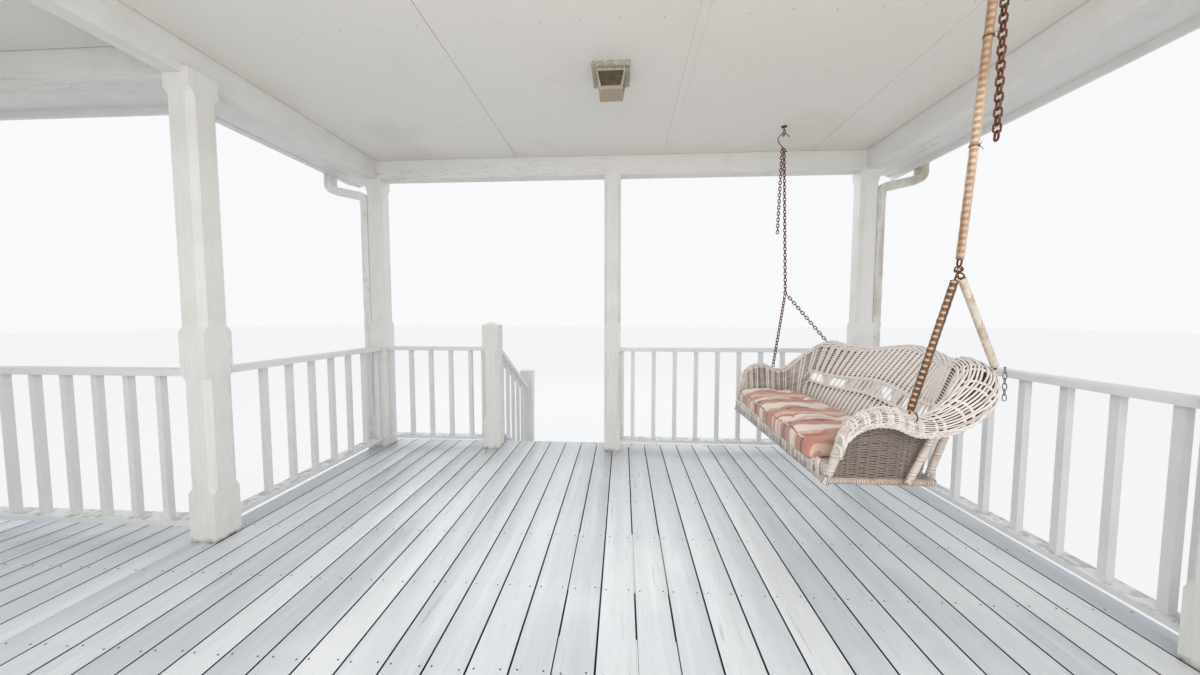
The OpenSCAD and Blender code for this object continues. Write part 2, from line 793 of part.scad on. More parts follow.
module gutters() color(WHITE) framed() {
    translate([right_eave_x + fascia_t, front_y, gutter_z]) rotate([90, 0, 0])
        linear_extrude(height = front_y) gutter_profile();
    translate([left_eave_x - fascia_t, front_y, gutter_z]) rotate([90, 0, 0]) mirror([1, 0, 0])
        linear_extrude(height = front_y - wing_eave_y - fascia_t - gutter_w - 5) gutter_profile();
    translate([wing_eave_x, wing_eave_y + fascia_t, gutter_z]) rotate([90, 0, 90])
        linear_extrude(height = left_eave_x - wing_eave_x - fascia_t - gutter_w - 5) gutter_profile();
}

// Stations along an elbow as [x, z, side x, side z, ridge], turning about a centre; flip is -1 where the
// centre lies on the far side.
function elbow(cx, cz, a0, a1, flip) = [for (i = [0 : 12]) let (a = a0 + (a1 - a0) * i / 12)
    [cx + spout_bend * cos(a), cz + spout_bend * sin(a), flip * cos(a), flip * sin(a), i % 2 * crimp]];

// Half length that an upper elbow takes from the slanted run, and height of the lower one's corner.
elbow_half = spout_bend * tan(spout_turn / 2);
spout_x_in = bay_w + half + spout_gap + spout_d / 2;
spout_x_out = right_eave_x + fascia_t + gutter_w * OGEE[0][0] / 2;
spout_corner = gutter_z - elbow_half - spout_neck - (spout_x_out - spout_x_in) / tan(spout_turn);

// Side outline of a downspout: from the gutter under the soffit to the post, down it, and out at the foot.
module spout_outline() {
    x_out = spout_x_out;
    x_in = spout_x_in;
    t = elbow_half;
    z_out = gutter_z - t - spout_neck;
    z_in = spout_corner;
    path = concat([[x_out, gutter_z, 1, 0, 0]],
                  elbow(x_out - spout_bend, z_out + t, 0, -spout_turn, 1),
                  elbow(x_in + spout_bend, z_in - t, 180 - spout_turn, 180, -1),
                  elbow(x_in + spout_bend, kick_z, 180, 180 + kick_turn, -1));
    count = len(path);
    polygon([for (i = [0 : 2 * count - 1])
        let (up = i < count, p = path[up ? i : 2 * count - 1 - i],
             off = (up ? 1 : -1) * (spout_d / 2 + p[4]))
        [p[0] + off * p[2], p[1] + off * p[3]]]);
}

module downspout(side)
    mirror([side < 0 ? 1 : 0, 0, 0]) {
        translate([0, main_d + spout_w / 2, 0]) rotate([90, 0, 0]) linear_extrude(height = spout_w)
            spout_outline();
        for (z = [deck_h + foot_block, deck_h + rail_block_hi, spout_corner - elbow_half - strap_w])
            block(bay_w + half + spout_gap - strap_t, bay_w + half + spout_gap + spout_d + strap_t,
                  main_d - spout_w / 2 - strap_t, main_d + spout_w / 2 + strap_t, z, z + strap_w);
    }

module downspouts() color(WHITE) framed() {
    downspout(1);
    downspout(-1);
}

module lamp_slab(w, z0, z1) translate([-w / 2, -w / 2, z0]) cube([w, w, z1 - z0]);

module light_housing() color(BRONZE) framed() translate([light_x, light_y, ceil_z]) {
    lamp_slab(canopy_w, -canopy_h, 0);
    lamp_slab(lamp_foot + lamp_bar - pane_t, lamp_z, lamp_z + lamp_base);
    difference() {
        lamp_cone(0);
        lamp_cone(lamp_bar);
        for (a = [0, 90])
            rotate([0, 0, a]) rotate([90, 0, 0]) linear_extrude(height = 2 * lamp_top, center = true)
                polygon([[-lamp_foot / 2 + lamp_bar, lamp_z + 2 * lamp_base],
                         [lamp_foot / 2 - lamp_bar, lamp_z + 2 * lamp_base],
                         [lamp_top / 2 - lamp_bar, -canopy_h - lamp_bar],
                         [-lamp_top / 2 + lamp_bar, -canopy_h - lamp_bar]]);
    }
}

module lamp_cone(inset) {
    intersection_for(a = [0, 90])
        rotate([0, 0, a]) rotate([90, 0, 0]) linear_extrude(height = 2 * lamp_top, center = true)
            polygon([[-lamp_foot / 2 + inset, lamp_z], [lamp_foot / 2 - inset, lamp_z],
                     [lamp_top / 2 - inset, -canopy_h], [-lamp_top / 2 + inset, -canopy_h]]);
}

module light_glass() color(AMBER) framed() translate([light_x, light_y, ceil_z]) difference() {
    intersection() {
        lamp_cone(lamp_bar);
        lamp_slab(lamp_top, lamp_z + lamp_base, -canopy_h);
    }
    lamp_cone(lamp_bar + pane_t);
}

module light_bulb() color(AMBER) framed() translate([light_x, light_y, ceil_z]) {
    translate([0, 0, -canopy_h - holder_h]) cylinder(d = holder_d, h = holder_h);
    translate([0, 0, -canopy_h - holder_h - bulb_d]) intersection() {
        cylinder(d1 = holder_d / 2, d2 = 2 * holder_d, h = bulb_d);
        cylinder(d = bulb_d, h = bulb_d);
    }
}

module ring(r, d) rotate([90, 0, 0]) rotate_extrude($fn = 32) translate([r, 0]) circle(d = d, $fn = 12);

module swing_hooks() color(STEEL) framed()
    for (s = [-1, 1])
        translate([swing_x, swing_y + s * hook_span / 2, axis_z]) {
            rotate([0, 0, 90]) ring(hook_r, hook_wire);
            translate([0, 0, hook_r]) cylinder(d = hook_wire + 1, h = hook_drop - hook_r);
            translate([0, 0, hook_drop - plate_t]) cylinder(d = hook_plate, h = plate_t);
        }

module cone_rod(p, q, d1, d2) {
    v = q - p;
    len = norm(v);
    translate(p) rotate([0, acos(v[2] / len), atan2(v[1], v[0])])
        cylinder(d1 = d1, d2 = d2, h = len, $fn = 20);
}

module rod(p, q, d) cone_rod(p, q, d, d);

// Plan of the woven seat: from the front of one arm round the back to the front of the other.
side_u = seat_len / 2 - side_tuck;
arm_v = seat_front - front_roll - 2;
function u_station(t) =
    let (a = arm_v + seat_back - corner_r, b = PI * corner_r / 2, c = 2 * (side_u - corner_r),
         s = t * (2 * a + 2 * b + c))
    s < a ? [-side_u, s - arm_v, 180] :
    s < a + b ? let (g = (s - a) / corner_r * 180 / PI)
        [-side_u + corner_r - corner_r * cos(g), seat_back - corner_r + corner_r * sin(g), 180 - g] :
    s < a + b + c ? [-side_u + corner_r + s - a - b, seat_back, 90] :
    s < a + 2 * b + c ? let (g = (s - a - b - c) / corner_r * 180 / PI)
        [side_u - corner_r + corner_r * sin(g), seat_back - corner_r + corner_r * cos(g), 90 - g] :
    [side_u, seat_back - corner_r - (s - a - 2 * b - c), 0];

// How far a station belongs to the back: 0 on the arms, 1 on the back.
function backness(a) = pow(max(0, sin(a)), corner_power);
function corner_share(u) = min(1, abs(u) / (side_u - corner_r));
function humps(u) = hump_h * cos(u / hump_run * 180);
// How far a place on an arm is past the curl at its front: 0 at the very front, 1 behind the curl.
function curl(v) = min(1, (v + arm_v) / arm_curl);
function arm_crest(v) = arm_rise - arm_drop * (1 - sqrt(1 - pow(1 - curl(v), 2)))
    - arm_dip * pow(max(0, sin(180 * (v + arm_v - arm_curl) / (arm_v + seat_back - arm_curl))), 2);
function crest(st) = let (b = backness(st[2]))
    (1 - b) * arm_crest(st[1]) + b * (back_rise - hump_h + humps(st[0]));
function lean(st) = let (b = backness(st[2]))
    (1 - b) * arm_lean * arm_crest(st[1]) / arm_rise
    + b * (back_lean - back_taper * pow(corner_share(st[0]), 2));
function roll(st) = let (b = backness(st[2]), c = curl(st[1]))
    (1 - b) * (front_roll + (arm_roll - front_roll) * c) + b * back_roll
    + corner_roll * pow(abs(sin(2 * st[2])), 1.5);

WEAVE_UP = 8;
WEAVE_ROLL = 8;
ROLL_END = 150;
// Angle of the wall where it turns into its roll, and its reach there.
function top_angle(st) = atan2(crest(st) - roll(st), lean(st) * 1.25);
function roll_reach(st) = lean(st) + roll(st) * sin(top_angle(st));
// Profile of the wall at a station from its foot to its rolled edge's end, as [outward, up, normal angle].
function profile_point(j, st) =
    let (h = crest(st), l = lean(st), r = roll(st), g0 = top_angle(st))
    j <= WEAVE_UP ?
        let (t = j / WEAVE_UP)
        [l * pow(t, 1.25), (h - r) * t, atan2(h - r, l * 1.25 * pow(max(t, 0.02), 0.25))] :
        let (g = g0 - (j - WEAVE_UP) * (g0 + ROLL_END) / WEAVE_ROLL)
        [l + r * sin(g0) - r * sin(g), h - r - r * cos(g0) + r * cos(g), g];

foot_z = bottom_z + cane_d / 2 + 1;

// A point of the seat in local plan, from its station and how far out and up it lies.
function seat_point(st, out, up) =
    [swing_x + st[1] + out * sin(st[2]), swing_y + st[0] + out * cos(st[2]), foot_z + up];

// Place near the rolled edge at a station, off by some distance and turned outwards from its top.
function roll_place(st, turn, off) =
    seat_point(st, roll_reach(st) + (roll(st) + off) * sin(turn),
               crest(st) - roll(st) * (1 + cos(top_angle(st))) + (roll(st) + off) * cos(turn));

// Top of the rolled edge at a station.
function roll_top(st) = roll_place(st, 0, weave_t / 2);

module swing_weave() color(WICKER) framed() {
    n = 64;
    m = WEAVE_UP + WEAVE_ROLL;
    k = 2 * (m + 1);
    pts = [for (i = [0 : n]) let (st = u_station(i / n))
        for (j = [0 : k - 1])
            let (jj = j <= m ? j : 2 * m + 1 - j, off = (j <= m ? -1 : 1) * weave_t / 2,
                 p = profile_point(jj, st))
            seat_point(st, p[0] + off * sin(p[2]), max(0, p[1] - off * cos(p[2])))];
    sides = [for (i = [0 : n - 1]) for (j = [0 : k - 1])
        let (a = i * k + j, b = i * k + (j + 1) % k, c = a + k, d = b + k) each [[a, d, b], [a, c, d]]];
    ends = [[for (j = [0 : k - 1]) j], [for (j = [k - 1 : -1 : 0]) n * k + j]];
    polyhedron(points = pts, faces = concat(sides, ends), convexity = 8);
}

// Stations on a back corner: where the corner's post stands, and where the back hanger ends.
CORNER_TURN = 30;
HANG_TURN = 20;
HANG_LEAN = 45;
function corner_station(s, turn) = [s * (side_u - corner_r * (1 - sin(turn))),
                                    seat_back - corner_r * (1 - cos(turn)), 90 - s * turn];

// A post of the seat's frame outside the wall at a station, up to under the rolled edge.
module wrapped_post(st, d) {
    off = (weave_t + d) / 2 + 3;
    up = crest(st) - roll(st) - back_roll * 0.7;
    t = up / (crest(st) - roll(st));
    rod(seat_point(st, off, -cane_d / 2), seat_point(st, off + lean(st) * pow(t, 1.1), up), d);
}

// Outline of the woven seat deck: square in front, rounded behind inside the wall.
module deck_outline() {
    edge = side_u - weave_t;
    r = corner_r - weave_t / 2;
    back = seat_back - weave_t;
    translate([-seat_front, -edge]) square([seat_front + back - r, 2 * edge]);
    translate([back - r, -edge + r]) square([r, 2 * (edge - r)]);
    for (u = [-edge + r, edge - r])
        translate([back - r, u]) circle(r, $fn = 48);
}

module swing_frame() color(WICKER) framed() {
    x0 = swing_x - seat_front;
    x1 = swing_x + seat_back;
    y0 = swing_y - side_u;
    y1 = swing_y + side_u;
    z = bottom_z;
    rod([x0, y0, z], [x0, y1, z], cane_d);
    rod([x1, y0, z], [x1, y1, z], cane_d);
    for (y = [y0, y1])
        rod([x0, y, z], [x1, y, z], cane_d);
    for (s = [-1, 1]) {
        st = [s * side_u, -seat_front, s < 0 ? 180 : 0];
        front = [s * side_u, -arm_v, st[2]];
        up = crest(front) - front_roll;
        cone_rod(seat_point(st, 0, -cane_d), seat_point(st, lean(front), up),
                 cane_d - 1, 2 * front_roll - 2);
        wrapped_post([s * side_u, -mid_post, st[2]], cane_d - 2);
        wrapped_post(corner_station(s, CORNER_TURN), cane_d - 2);
    }
    posts = round(2 * (side_u - corner_r) / back_post_pitch);
    for (i = [1 : posts - 1])
        wrapped_post([(2 * i / posts - 1) * (side_u - corner_r), seat_back, 90], cane_d - 3);
    translate([swing_x, swing_y, z + seat_rise - seat_t]) linear_extrude(height = seat_t) deck_outline();
    for (x = [x0, x1 - weave_t - corner_r])
        block(x - seat_t / 2, x + seat_t / 2, y0 + weave_t, y1 - weave_t, z, z + seat_rise - seat_t / 2);
}

module swing_cushion() color(CLOTH) framed() {
    r = cushion_r;
    x0 = swing_x - seat_front - cushion_nose;
    x1 = swing_x + seat_back - weave_t;
    y0 = swing_y - side_u + weave_t + cushion_play;
    y1 = swing_y + side_u - weave_t - cushion_play;
    z0 = bottom_z + seat_rise;
    translate([0, 0, z0]) linear_extrude(height = cushion_t) hull() {
        for (y = [y0 + r, y1 - r])
            translate([x0 + r, y]) circle(r, $fn = 24);
        for (y = [y0 + corner_r, y1 - corner_r])
            translate([x1 - corner_r, y]) circle(corner_r - cushion_play / 2, $fn = 32);
    }
}

// Middle line of an open hook that hangs in an eye, as [sideways, down]: through the eye at 0, past the
// chain at 1, with an open end beyond each.
OPEN_START = -0.35;
OPEN_END = 1.16;
OPEN_STEPS = 22;
function open_hook(t) = [-open_sway * sin(180 * t), open_drop * pow(abs(t), 1.3)];

// A round wire along the open hook; across is the wire's other direction, square to its plane.
module open_wire_hook(at, down, across) {
    k = 8;
    n = OPEN_STEPS;
    pts = [for (i = [0 : n])
        let (t = OPEN_START + (OPEN_END - OPEN_START) * i / n, d = (OPEN_END - OPEN_START) / n / 4,
             p = open_hook(t), v = open_hook(t + d) - open_hook(t - d), u = [-v[1], v[0]] / norm(v))
            for (j = [0 : k - 1])
                let (c = open_wire / 2 * cos(360 * j / k), e = open_wire / 2 * sin(360 * j / k))
                    at + [1, 0, 0] * (p[0] + c * u[0]) + down * (p[1] + c * u[1]) + across * e];
    sides = [for (i = [0 : n - 1]) for (j = [0 : k - 1])
        let (a = i * k + j, b = i * k + (j + 1) % k) [a, b, b + k, a + k]];
    ends = [[for (j = [k - 1 : -1 : 0]) j], [for (j = [0 : k - 1]) n * k + j]];
    polyhedron(points = pts, faces = concat(sides, ends), convexity = 6);
}

// A chain from p to q, bare at both ends and sleeved between.
module sleeved_chain(p, q, bare_p, bare_q) {
    dir = (q - p) / norm(q - p);
    rod(p, q, chain_d);
    rod(p + dir * bare_p, q - dir * bare_q, sleeve_d);
}

// One hanger: an open hook, the chain to the ring with its loose end beside it, and two sleeved legs to the
// arm and to the back. Only the hanger nearer the house has a sleeve above its ring.
module hanger(s) {
    y = swing_y + s * hook_span / 2;
    ringp = [swing_x, y - s * ring_in, ring_abs];
    clear = ring_r + wire_d / 2 + 0.6;
    arm_top = roll_top([s * side_u, -leg_front, s < 0 ? 180 : 0]) + [0, 0, 3];
    back_top = roll_place(corner_station(s, HANG_TURN), HANG_LEAN, weave_t / 2 + chain_d / 2 + 4);
    hook = [swing_x, y, axis_z];
    fall = (ringp - hook) / norm(ringp - hook);
    chain_top = hook + fall * open_drop;
    tail_t = s < 0 ? OPEN_END : 0.9;
    tail_top = hook + [1, 0, 0] * open_hook(tail_t)[0] + fall * open_hook(tail_t)[1];
    translate(ringp) ring(ring_r, wire_d);
    open_wire_hook(hook, fall, cross(fall, [1, 0, 0]));
    if (s < 0)
        sleeved_chain(chain_top, ringp - fall * clear, bare_end, bare_end);
    else
        rod(chain_top, ringp - fall * clear, chain_d);
    rod(tail_top, tail_top + [s < 0 ? 0 : -ring_r, 0, -tail_len], chain_d - tail_less);
    for (p = [arm_top, back_top])
        sleeved_chain(ringp + (p - ringp) / norm(p - ringp) * (clear + 4), p, bare_end, bare_end / 2);
}

module hanger_front() color(SLEEVE) framed() hanger(-1);

module hanger_back() color(SLEEVE) framed() hanger(1);

piers();
ledger();
rim_boards();
floor_beams();
floor_joists();
deck();
stair_stringers();
tread_top();
tread_upper();
tread_lower();
tread_bottom();
risers();
newel_upper();
newels_lower();
stair_rails();
posts_front();
posts_right();
posts_wing();
railing_front_left();
railing_front_right();
railing_right_front();
railing_right_back();
railing_left_side();
railing_wing_front();
railing_wing_end();
beams_front();
beams_side();
ceilings();
roof_frame();
roof_main();
roof_wing();
gables();
barge_boards();
eaves();
gutters();
downspouts();
light_housing();
light_glass();
light_bulb();
swing_hooks();
swing_frame();
swing_weave();
swing_cushion();
hanger_front();
hanger_back();
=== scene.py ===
"""Looks of the front porch: boards, shingles, woven seat, cushion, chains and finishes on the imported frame."""

import json
import logging
import math
from contextlib import contextmanager
from dataclasses import dataclass, field
from enum import Enum
from typing import Iterable, Iterator, Optional, Sequence, Union

import bmesh
import bpy
import numpy as np
from mathutils import Matrix, Vector


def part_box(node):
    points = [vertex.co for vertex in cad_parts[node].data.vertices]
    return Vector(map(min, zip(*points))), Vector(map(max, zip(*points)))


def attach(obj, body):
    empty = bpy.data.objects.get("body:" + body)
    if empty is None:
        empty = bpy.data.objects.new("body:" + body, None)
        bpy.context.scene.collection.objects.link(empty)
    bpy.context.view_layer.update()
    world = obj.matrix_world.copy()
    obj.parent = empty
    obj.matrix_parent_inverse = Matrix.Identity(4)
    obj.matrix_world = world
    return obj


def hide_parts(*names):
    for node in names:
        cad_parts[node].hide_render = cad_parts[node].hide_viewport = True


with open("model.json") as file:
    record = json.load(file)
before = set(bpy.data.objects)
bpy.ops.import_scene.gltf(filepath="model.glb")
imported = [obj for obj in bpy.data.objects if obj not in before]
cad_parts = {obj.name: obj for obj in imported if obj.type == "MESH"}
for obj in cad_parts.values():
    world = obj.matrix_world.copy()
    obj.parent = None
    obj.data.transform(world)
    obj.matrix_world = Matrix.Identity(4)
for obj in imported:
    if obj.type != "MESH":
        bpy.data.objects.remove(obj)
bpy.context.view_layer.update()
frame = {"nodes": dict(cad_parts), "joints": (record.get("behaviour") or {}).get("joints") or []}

log = logging.getLogger("porch")
Colour = tuple[float, float, float]
Point = tuple[float, float, float]
Part = tuple[np.ndarray, list[tuple[int, ...]]]
PORCH = "porch"
SWING = "swing"
TURN = 6.283
PALE = (0.94, 0.95, 0.96, 1.0)


def srgb(red: float, green: float, blue: float) -> Colour:
    """Turns a screen colour into the linear colour that shaders use.

    Args:
        red, green, blue: Screen values from 0 to 1.

    Returns:
        The linear colour.
    """
    return tuple(c / 12.92 if c <= 0.04045 else ((c + 0.055) / 1.055) ** 2.4 for c in (red, green, blue))


class Axis(Enum):
    """Direction in which a board's grain runs."""

    ALONG_X = (0.06, 1.0, 1.0)
    ALONG_Y = (1.0, 0.06, 1.0)
    ALONG_Z = (1.0, 1.0, 0.06)


class Value:
    """A shader socket that Python's operators work on, adding Math nodes."""

    def __init__(self, sheet: "Sheet", socket: bpy.types.NodeSocket) -> None:
        """Keeps the sheet and the output socket."""
        self.sheet = sheet
        self.socket = socket

    def maths(self, operation: str, *others: "Operand", swap: bool = False) -> "Value":
        """Adds one Math node.

        Args:
            operation: The node's operation.
            others: The other operands.
            swap: Whether this value comes last.

        Returns:
            The result.
        """
        operands = (*others, self) if swap else (self, *others)
        return self.sheet.node("ShaderNodeMath", {"operation": operation}, dict(enumerate(operands)))

    def __add__(self, other: "Operand") -> "Value":
        """Sum."""
        return self.maths("ADD", other)

    def __sub__(self, other: "Operand") -> "Value":
        """Difference."""
        return self.maths("SUBTRACT", other)

    def __rsub__(self, other: "Operand") -> "Value":
        """Difference from a number."""
        return self.maths("SUBTRACT", other, swap=True)

    def __mul__(self, other: "Operand") -> "Value":
        """Product."""
        return self.maths("MULTIPLY", other)

    def __truediv__(self, other: "Operand") -> "Value":
        """Quotient."""
        return self.maths("DIVIDE", other)

    def __rtruediv__(self, other: "Operand") -> "Value":
        """A number's quotient."""
        return self.maths("DIVIDE", other, swap=True)

    __radd__ = __add__
    __rmul__ = __mul__

    def step(self, low: float, high: float) -> "Value":
        """A smooth ramp: 0 below low, 1 above high, or the other way round where high is lower.

        Args:
            low: Where it starts.
            high: Where it ends.

        Returns:
            The ramp.
        """
        ends = (low, high, 0.0, 1.0) if high > low else (high, low, 1.0, 0.0)
        return self.sheet.node("ShaderNodeMapRange", {"interpolation_type": "SMOOTHSTEP"},
                               dict(enumerate((self, *ends))))

    def near(self, level: float, width: float) -> "Value":
        """1 where the value is close to a level, fading out over a width."""
        return (self - level).maths("ABSOLUTE").step(width, 0.0)

    def wave(self) -> "Value":
        """The value's sine, between 0 and 1."""
        return self.maths("SINE") * 0.5 + 0.5


Operand = Union[Value, float]
Input = Union[Value, float, Sequence[float]]


class Sheet:
    """The node tree of one material, or of the world."""

    def __init__(self, name: str, owner: Optional[bpy.types.World] = None) -> None:
        """Starts an empty tree in a new material of that name, or in its owner."""
        self.material = owner or bpy.data.materials.new(name)
        self.material.use_nodes = True
        self.tree = self.material.node_tree
        self.tree.nodes.clear()

    def node(self, kind: str, settings: Optional[dict] = None, inputs: Optional[dict] = None,
             out: Union[int, str] = 0) -> Optional[Value]:
        """Adds a node of any type.

        Args:
            kind: The node's type.
            settings: Properties set first; "stops" fills a colour ramp.
            inputs: Values or links by socket index or name.
            out: Which output to return.

        Returns:
            The chosen output, where the node has any.
        """
        made = self.tree.nodes.new(kind)
        for key, setting in (settings or {}).items():
            if key == "stops":
                elements = made.color_ramp.elements
                while len(elements) < len(setting):
                    elements.new(0.5)
                for element, (place, colour) in zip(elements, setting):
                    element.position = place
                    element.color = (*colour, 1.0)
            else:
                setattr(made.color_ramp if key == "interpolation" else made, key, setting)
        for key, given in (inputs or {}).items():
            socket = made.inputs[key]
            if isinstance(given, Value):
                self.tree.links.new(given.socket, socket)
            elif hasattr(given, "__len__") and len(given) < len(socket.default_value):
                socket.default_value = (*given, 1.0)
            else:
                socket.default_value = given
        return Value(self, made.outputs[out]) if made.outputs else None

    def axis(self, index: int) -> Value:
        """One object coordinate in metres: 0 is x, 1 is y, 2 is z."""
        return self.node("ShaderNodeSeparateXYZ", {}, {0: self.node("ShaderNodeTexCoord", out="Object")}, out=index)

    def facing(self, index: int) -> Value:
        """One component of the surface normal."""
        return self.node("ShaderNodeSeparateXYZ", {}, {0: self.node("ShaderNodeNewGeometry", out="Normal")}, out=index)

    def mapped(self, stretch: Sequence[float], offset: float = 0.0) -> Value:
        """Object coordinates, scaled along each axis and moved."""
        return self.node("ShaderNodeMapping", {}, {
            "Vector": self.node("ShaderNodeTexCoord", out="Object"), "Scale": stretch,
            "Location": (offset, offset * 0.7, offset * 1.3)})

    def noise(self, scale: float, detail: float = 3.0, stretch: Sequence[float] = (1.0, 1.0, 1.0),
              rough: float = 0.55, offset: float = 0.0) -> Value:
        """Noise on object coordinates, about 0.5.

        Args:
            scale: Cells per metre.
            detail: Octaves.
            stretch: Scale along each axis.
            rough: How strong the small octaves are.
            offset: Moves the pattern, so that two noises differ.

        Returns:
            The noise.
        """
        return self.node("ShaderNodeTexNoise", {}, {"Vector": self.mapped(stretch, offset), "Scale": scale,
                                                    "Detail": detail, "Roughness": rough})

    def specks(self, scale: float, size: float, stretch: Sequence[float] = (1.0, 1.0, 1.0)) -> Value:
        """Scattered dots: 1 on a dot, 0 between.

        Args:
            scale: Cells per metre.
            size: The dots' radius against a cell's width.
            stretch: Scale along each axis.

        Returns:
            The mask.
        """
        distance = self.node("ShaderNodeTexVoronoi", {"feature": "F1"},
                             {"Vector": self.mapped(stretch), "Scale": scale})
        return distance.step(size, size * 0.4)

    def attribute(self, name: str) -> Value:
        """A value stored on the mesh."""
        return self.node("ShaderNodeAttribute", {"attribute_name": name}, out="Fac")

    def mix(self, mask: Operand, under: Input, over: Input) -> Value:
        """Mixes two colours by a mask."""
        return self.node("ShaderNodeMix", {"data_type": "RGBA"}, {0: mask, 6: under, 7: over}, out=2)

    def coats(self, base: Input, *coats: tuple[Operand, Input]) -> Input:
        """Lays coats over a base colour, each by its own mask.

        Args:
            base: The colour below.
            coats: Mask and colour of each coat, the lowest first.

        Returns:
            The colour seen.
        """
        for mask, colour in coats:
            base = self.mix(mask, base, colour)
        return base

    def bands(self, value: Value, stops: Sequence[tuple[float, Colour]]) -> Value:
        """Colours a value in sharp bands."""
        return self.node("ShaderNodeValToRGB", {"stops": stops, "interpolation": "CONSTANT"}, {0: value})

    def bump(self, height: Value, depth: float, strength: float = 1.0) -> Value:
        """A normal bumped by a height, whose full range is depth in metres."""
        return self.node("ShaderNodeBump", {}, {"Height": height, "Distance": depth, "Strength": strength})

    def finish(self, colour: Input, rough: Operand, normal: Optional[Value] = None,
               **fixed: float) -> bpy.types.Material:
        """Closes the material with a Principled shader.

        Args:
            colour: Base colour.
            rough: Roughness.
            normal: Bumped normal.
            fixed: Other sockets by name, with spaces as underscores.

        Returns:
            The material.
        """
        inputs: dict = {"Base Color": colour, "Roughness": rough}
        if normal is not None:
            inputs["Normal"] = normal
        inputs.update({name.replace("_", " "): value for name, value in fixed.items()})
        shader = self.node("ShaderNodeBsdfPrincipled", {}, inputs, out="BSDF")
        self.node("ShaderNodeOutputMaterial", {}, {"Surface": shader})
        return self.material


@dataclass(frozen=True)
class HousePaint:
    """Brushed house paint on timber, with grain, specks, hairline cracks and dirt."""

    name: str
    grain: Axis
    wear: float
    cracks: float = 0.4
    colour: Colour = srgb(0.90, 0.90, 0.89)
    shade: Colour = srgb(0.74, 0.73, 0.70)
    dirt: Colour = srgb(0.36, 0.30, 0.22)
    foot: Optional[float] = None
    foot_height: float = 0.1
    shelf: Optional[float] = None

    def build(self) -> bpy.types.Material:
        """Makes the material."""
        sheet = Sheet(self.name)
        brush = sheet.noise(70.0, 4.0, self.grain.value, 0.6)
        wide = sheet.noise(2.4, 3.0, self.grain.value, 0.5, 3.1)
        cloud = sheet.noise(5.0, 4.0, offset=7.7)
        line = sheet.noise(34.0, 2.0, self.grain.value, 0.5, 12.0).near(0.5, 0.012)
        crack = line * wide.step(0.62 - 0.12 * self.cracks, 0.72) * min(1.0, 1.4 * self.cracks)
        speck = sheet.specks(9.0, 0.030) * cloud.step(0.5, 0.6)
        coats = [(cloud.step(0.42, 0.75) * 0.22 * self.wear, self.shade),
                 (brush.step(0.45, 0.75) * 0.22 * self.wear, self.shade),
                 (crack, self.dirt), (speck * 0.8 * self.wear, self.dirt)]
        if self.foot is not None:
            ragged = (sheet.axis(2) - self.foot) / self.foot_height + (sheet.noise(26.0, 4.0, offset=2.0) - 0.5) * 1.6
            coats += [(ragged.step(0.6, 0.0) * 0.45, self.dirt),
                      (ragged.step(0.05, -0.2) * 0.8, srgb(0.12, 0.11, 0.10))]
        if self.shelf is not None:
            moss = sheet.axis(2).near(self.shelf, 0.012) * sheet.noise(22.0, 4.0, offset=5.0).step(0.46, 0.62)
            coats.append((moss * sheet.facing(2).step(0.5, 0.9) * 0.45, srgb(0.47, 0.46, 0.36)))
        return sheet.finish(sheet.coats(self.colour, *coats), cloud * 0.2 + 0.4,
                            sheet.bump(brush * 0.5 + wide * 0.4 - crack * 1.5, 0.0012, 0.7))


@dataclass(frozen=True)
class DeckPaint:
    """Blue-grey floor paint on separate boards, worn pale, with dirt and painted shade on every face that does not face
    up, such as the board sides in the gaps.
    """

    name: str = "deck_paint"
    grain: Axis = Axis.ALONG_Y
    colour: Colour = srgb(0.82, 0.84, 0.85)
    pale: Colour = srgb(0.94, 0.94, 0.95)
    dark: Colour = srgb(0.60, 0.64, 0.68)
    dirt: Colour = srgb(0.30, 0.28, 0.27)
    # Near-black blue for faces that do not face up: painted shade in the gaps, on board ends and tread edges, with some
    # dirt.
    gap: Colour = srgb(0.08, 0.10, 0.16)

    def build(self) -> bpy.types.Material:
        """Makes the material."""
        sheet = Sheet(self.name)
        brush = sheet.noise(85.0, 4.0, self.grain.value, 0.62)
        streak = sheet.noise(16.0, 4.0, self.grain.value, 0.6, 4.0)
        worn = sheet.noise(1.6, 4.0, offset=9.0)
        scuff = sheet.noise(60.0, 3.0, self.grain.value, 0.5, 20.0).step(0.66, 0.74)
        # The last coat gives faces that do not face up the gap colour: painted shade, with some dirt.
        colour = sheet.coats(self.dark, (sheet.attribute("tone"), self.pale), (0.62, self.colour),
                             (streak.step(0.45, 0.78) * 0.45, self.pale), (brush.step(0.50, 0.80) * 0.30, self.dark),
                             (worn.step(0.50, 0.75) * 0.40, self.pale), (scuff * 0.25, self.dirt),
                             (sheet.specks(3.2, 0.014) * 0.7, self.dirt), (sheet.facing(2).step(0.70, 0.30), self.gap))
        return sheet.finish(colour, streak * 0.20 + 0.20, sheet.bump(brush * 0.6 + streak * 0.6, 0.0014, 0.8))


@dataclass(frozen=True)
class CeilingPaint:
    """Flat off-white paint on sheets, with a faint roller stipple, specks and soft stains."""

    name: str = "ceiling_paint"
    colour: Colour = srgb(0.89, 0.875, 0.85)
    stain: Colour = srgb(0.76, 0.74, 0.70)
    speck: Colour = srgb(0.45, 0.42, 0.38)

    def build(self) -> bpy.types.Material:
        """Makes the material."""
        sheet = Sheet(self.name)
        cloud, stipple = sheet.noise(1.3, 4.0), sheet.noise(240.0, 2.0)
        colour = sheet.coats(self.colour, (cloud.step(0.5, 0.8) * 0.5, self.stain),
                             (sheet.specks(2.3, 0.012) * 0.7, self.speck))
        return sheet.finish(colour, 0.75, sheet.bump(stipple * 0.3 + cloud, 0.0012, 0.6))


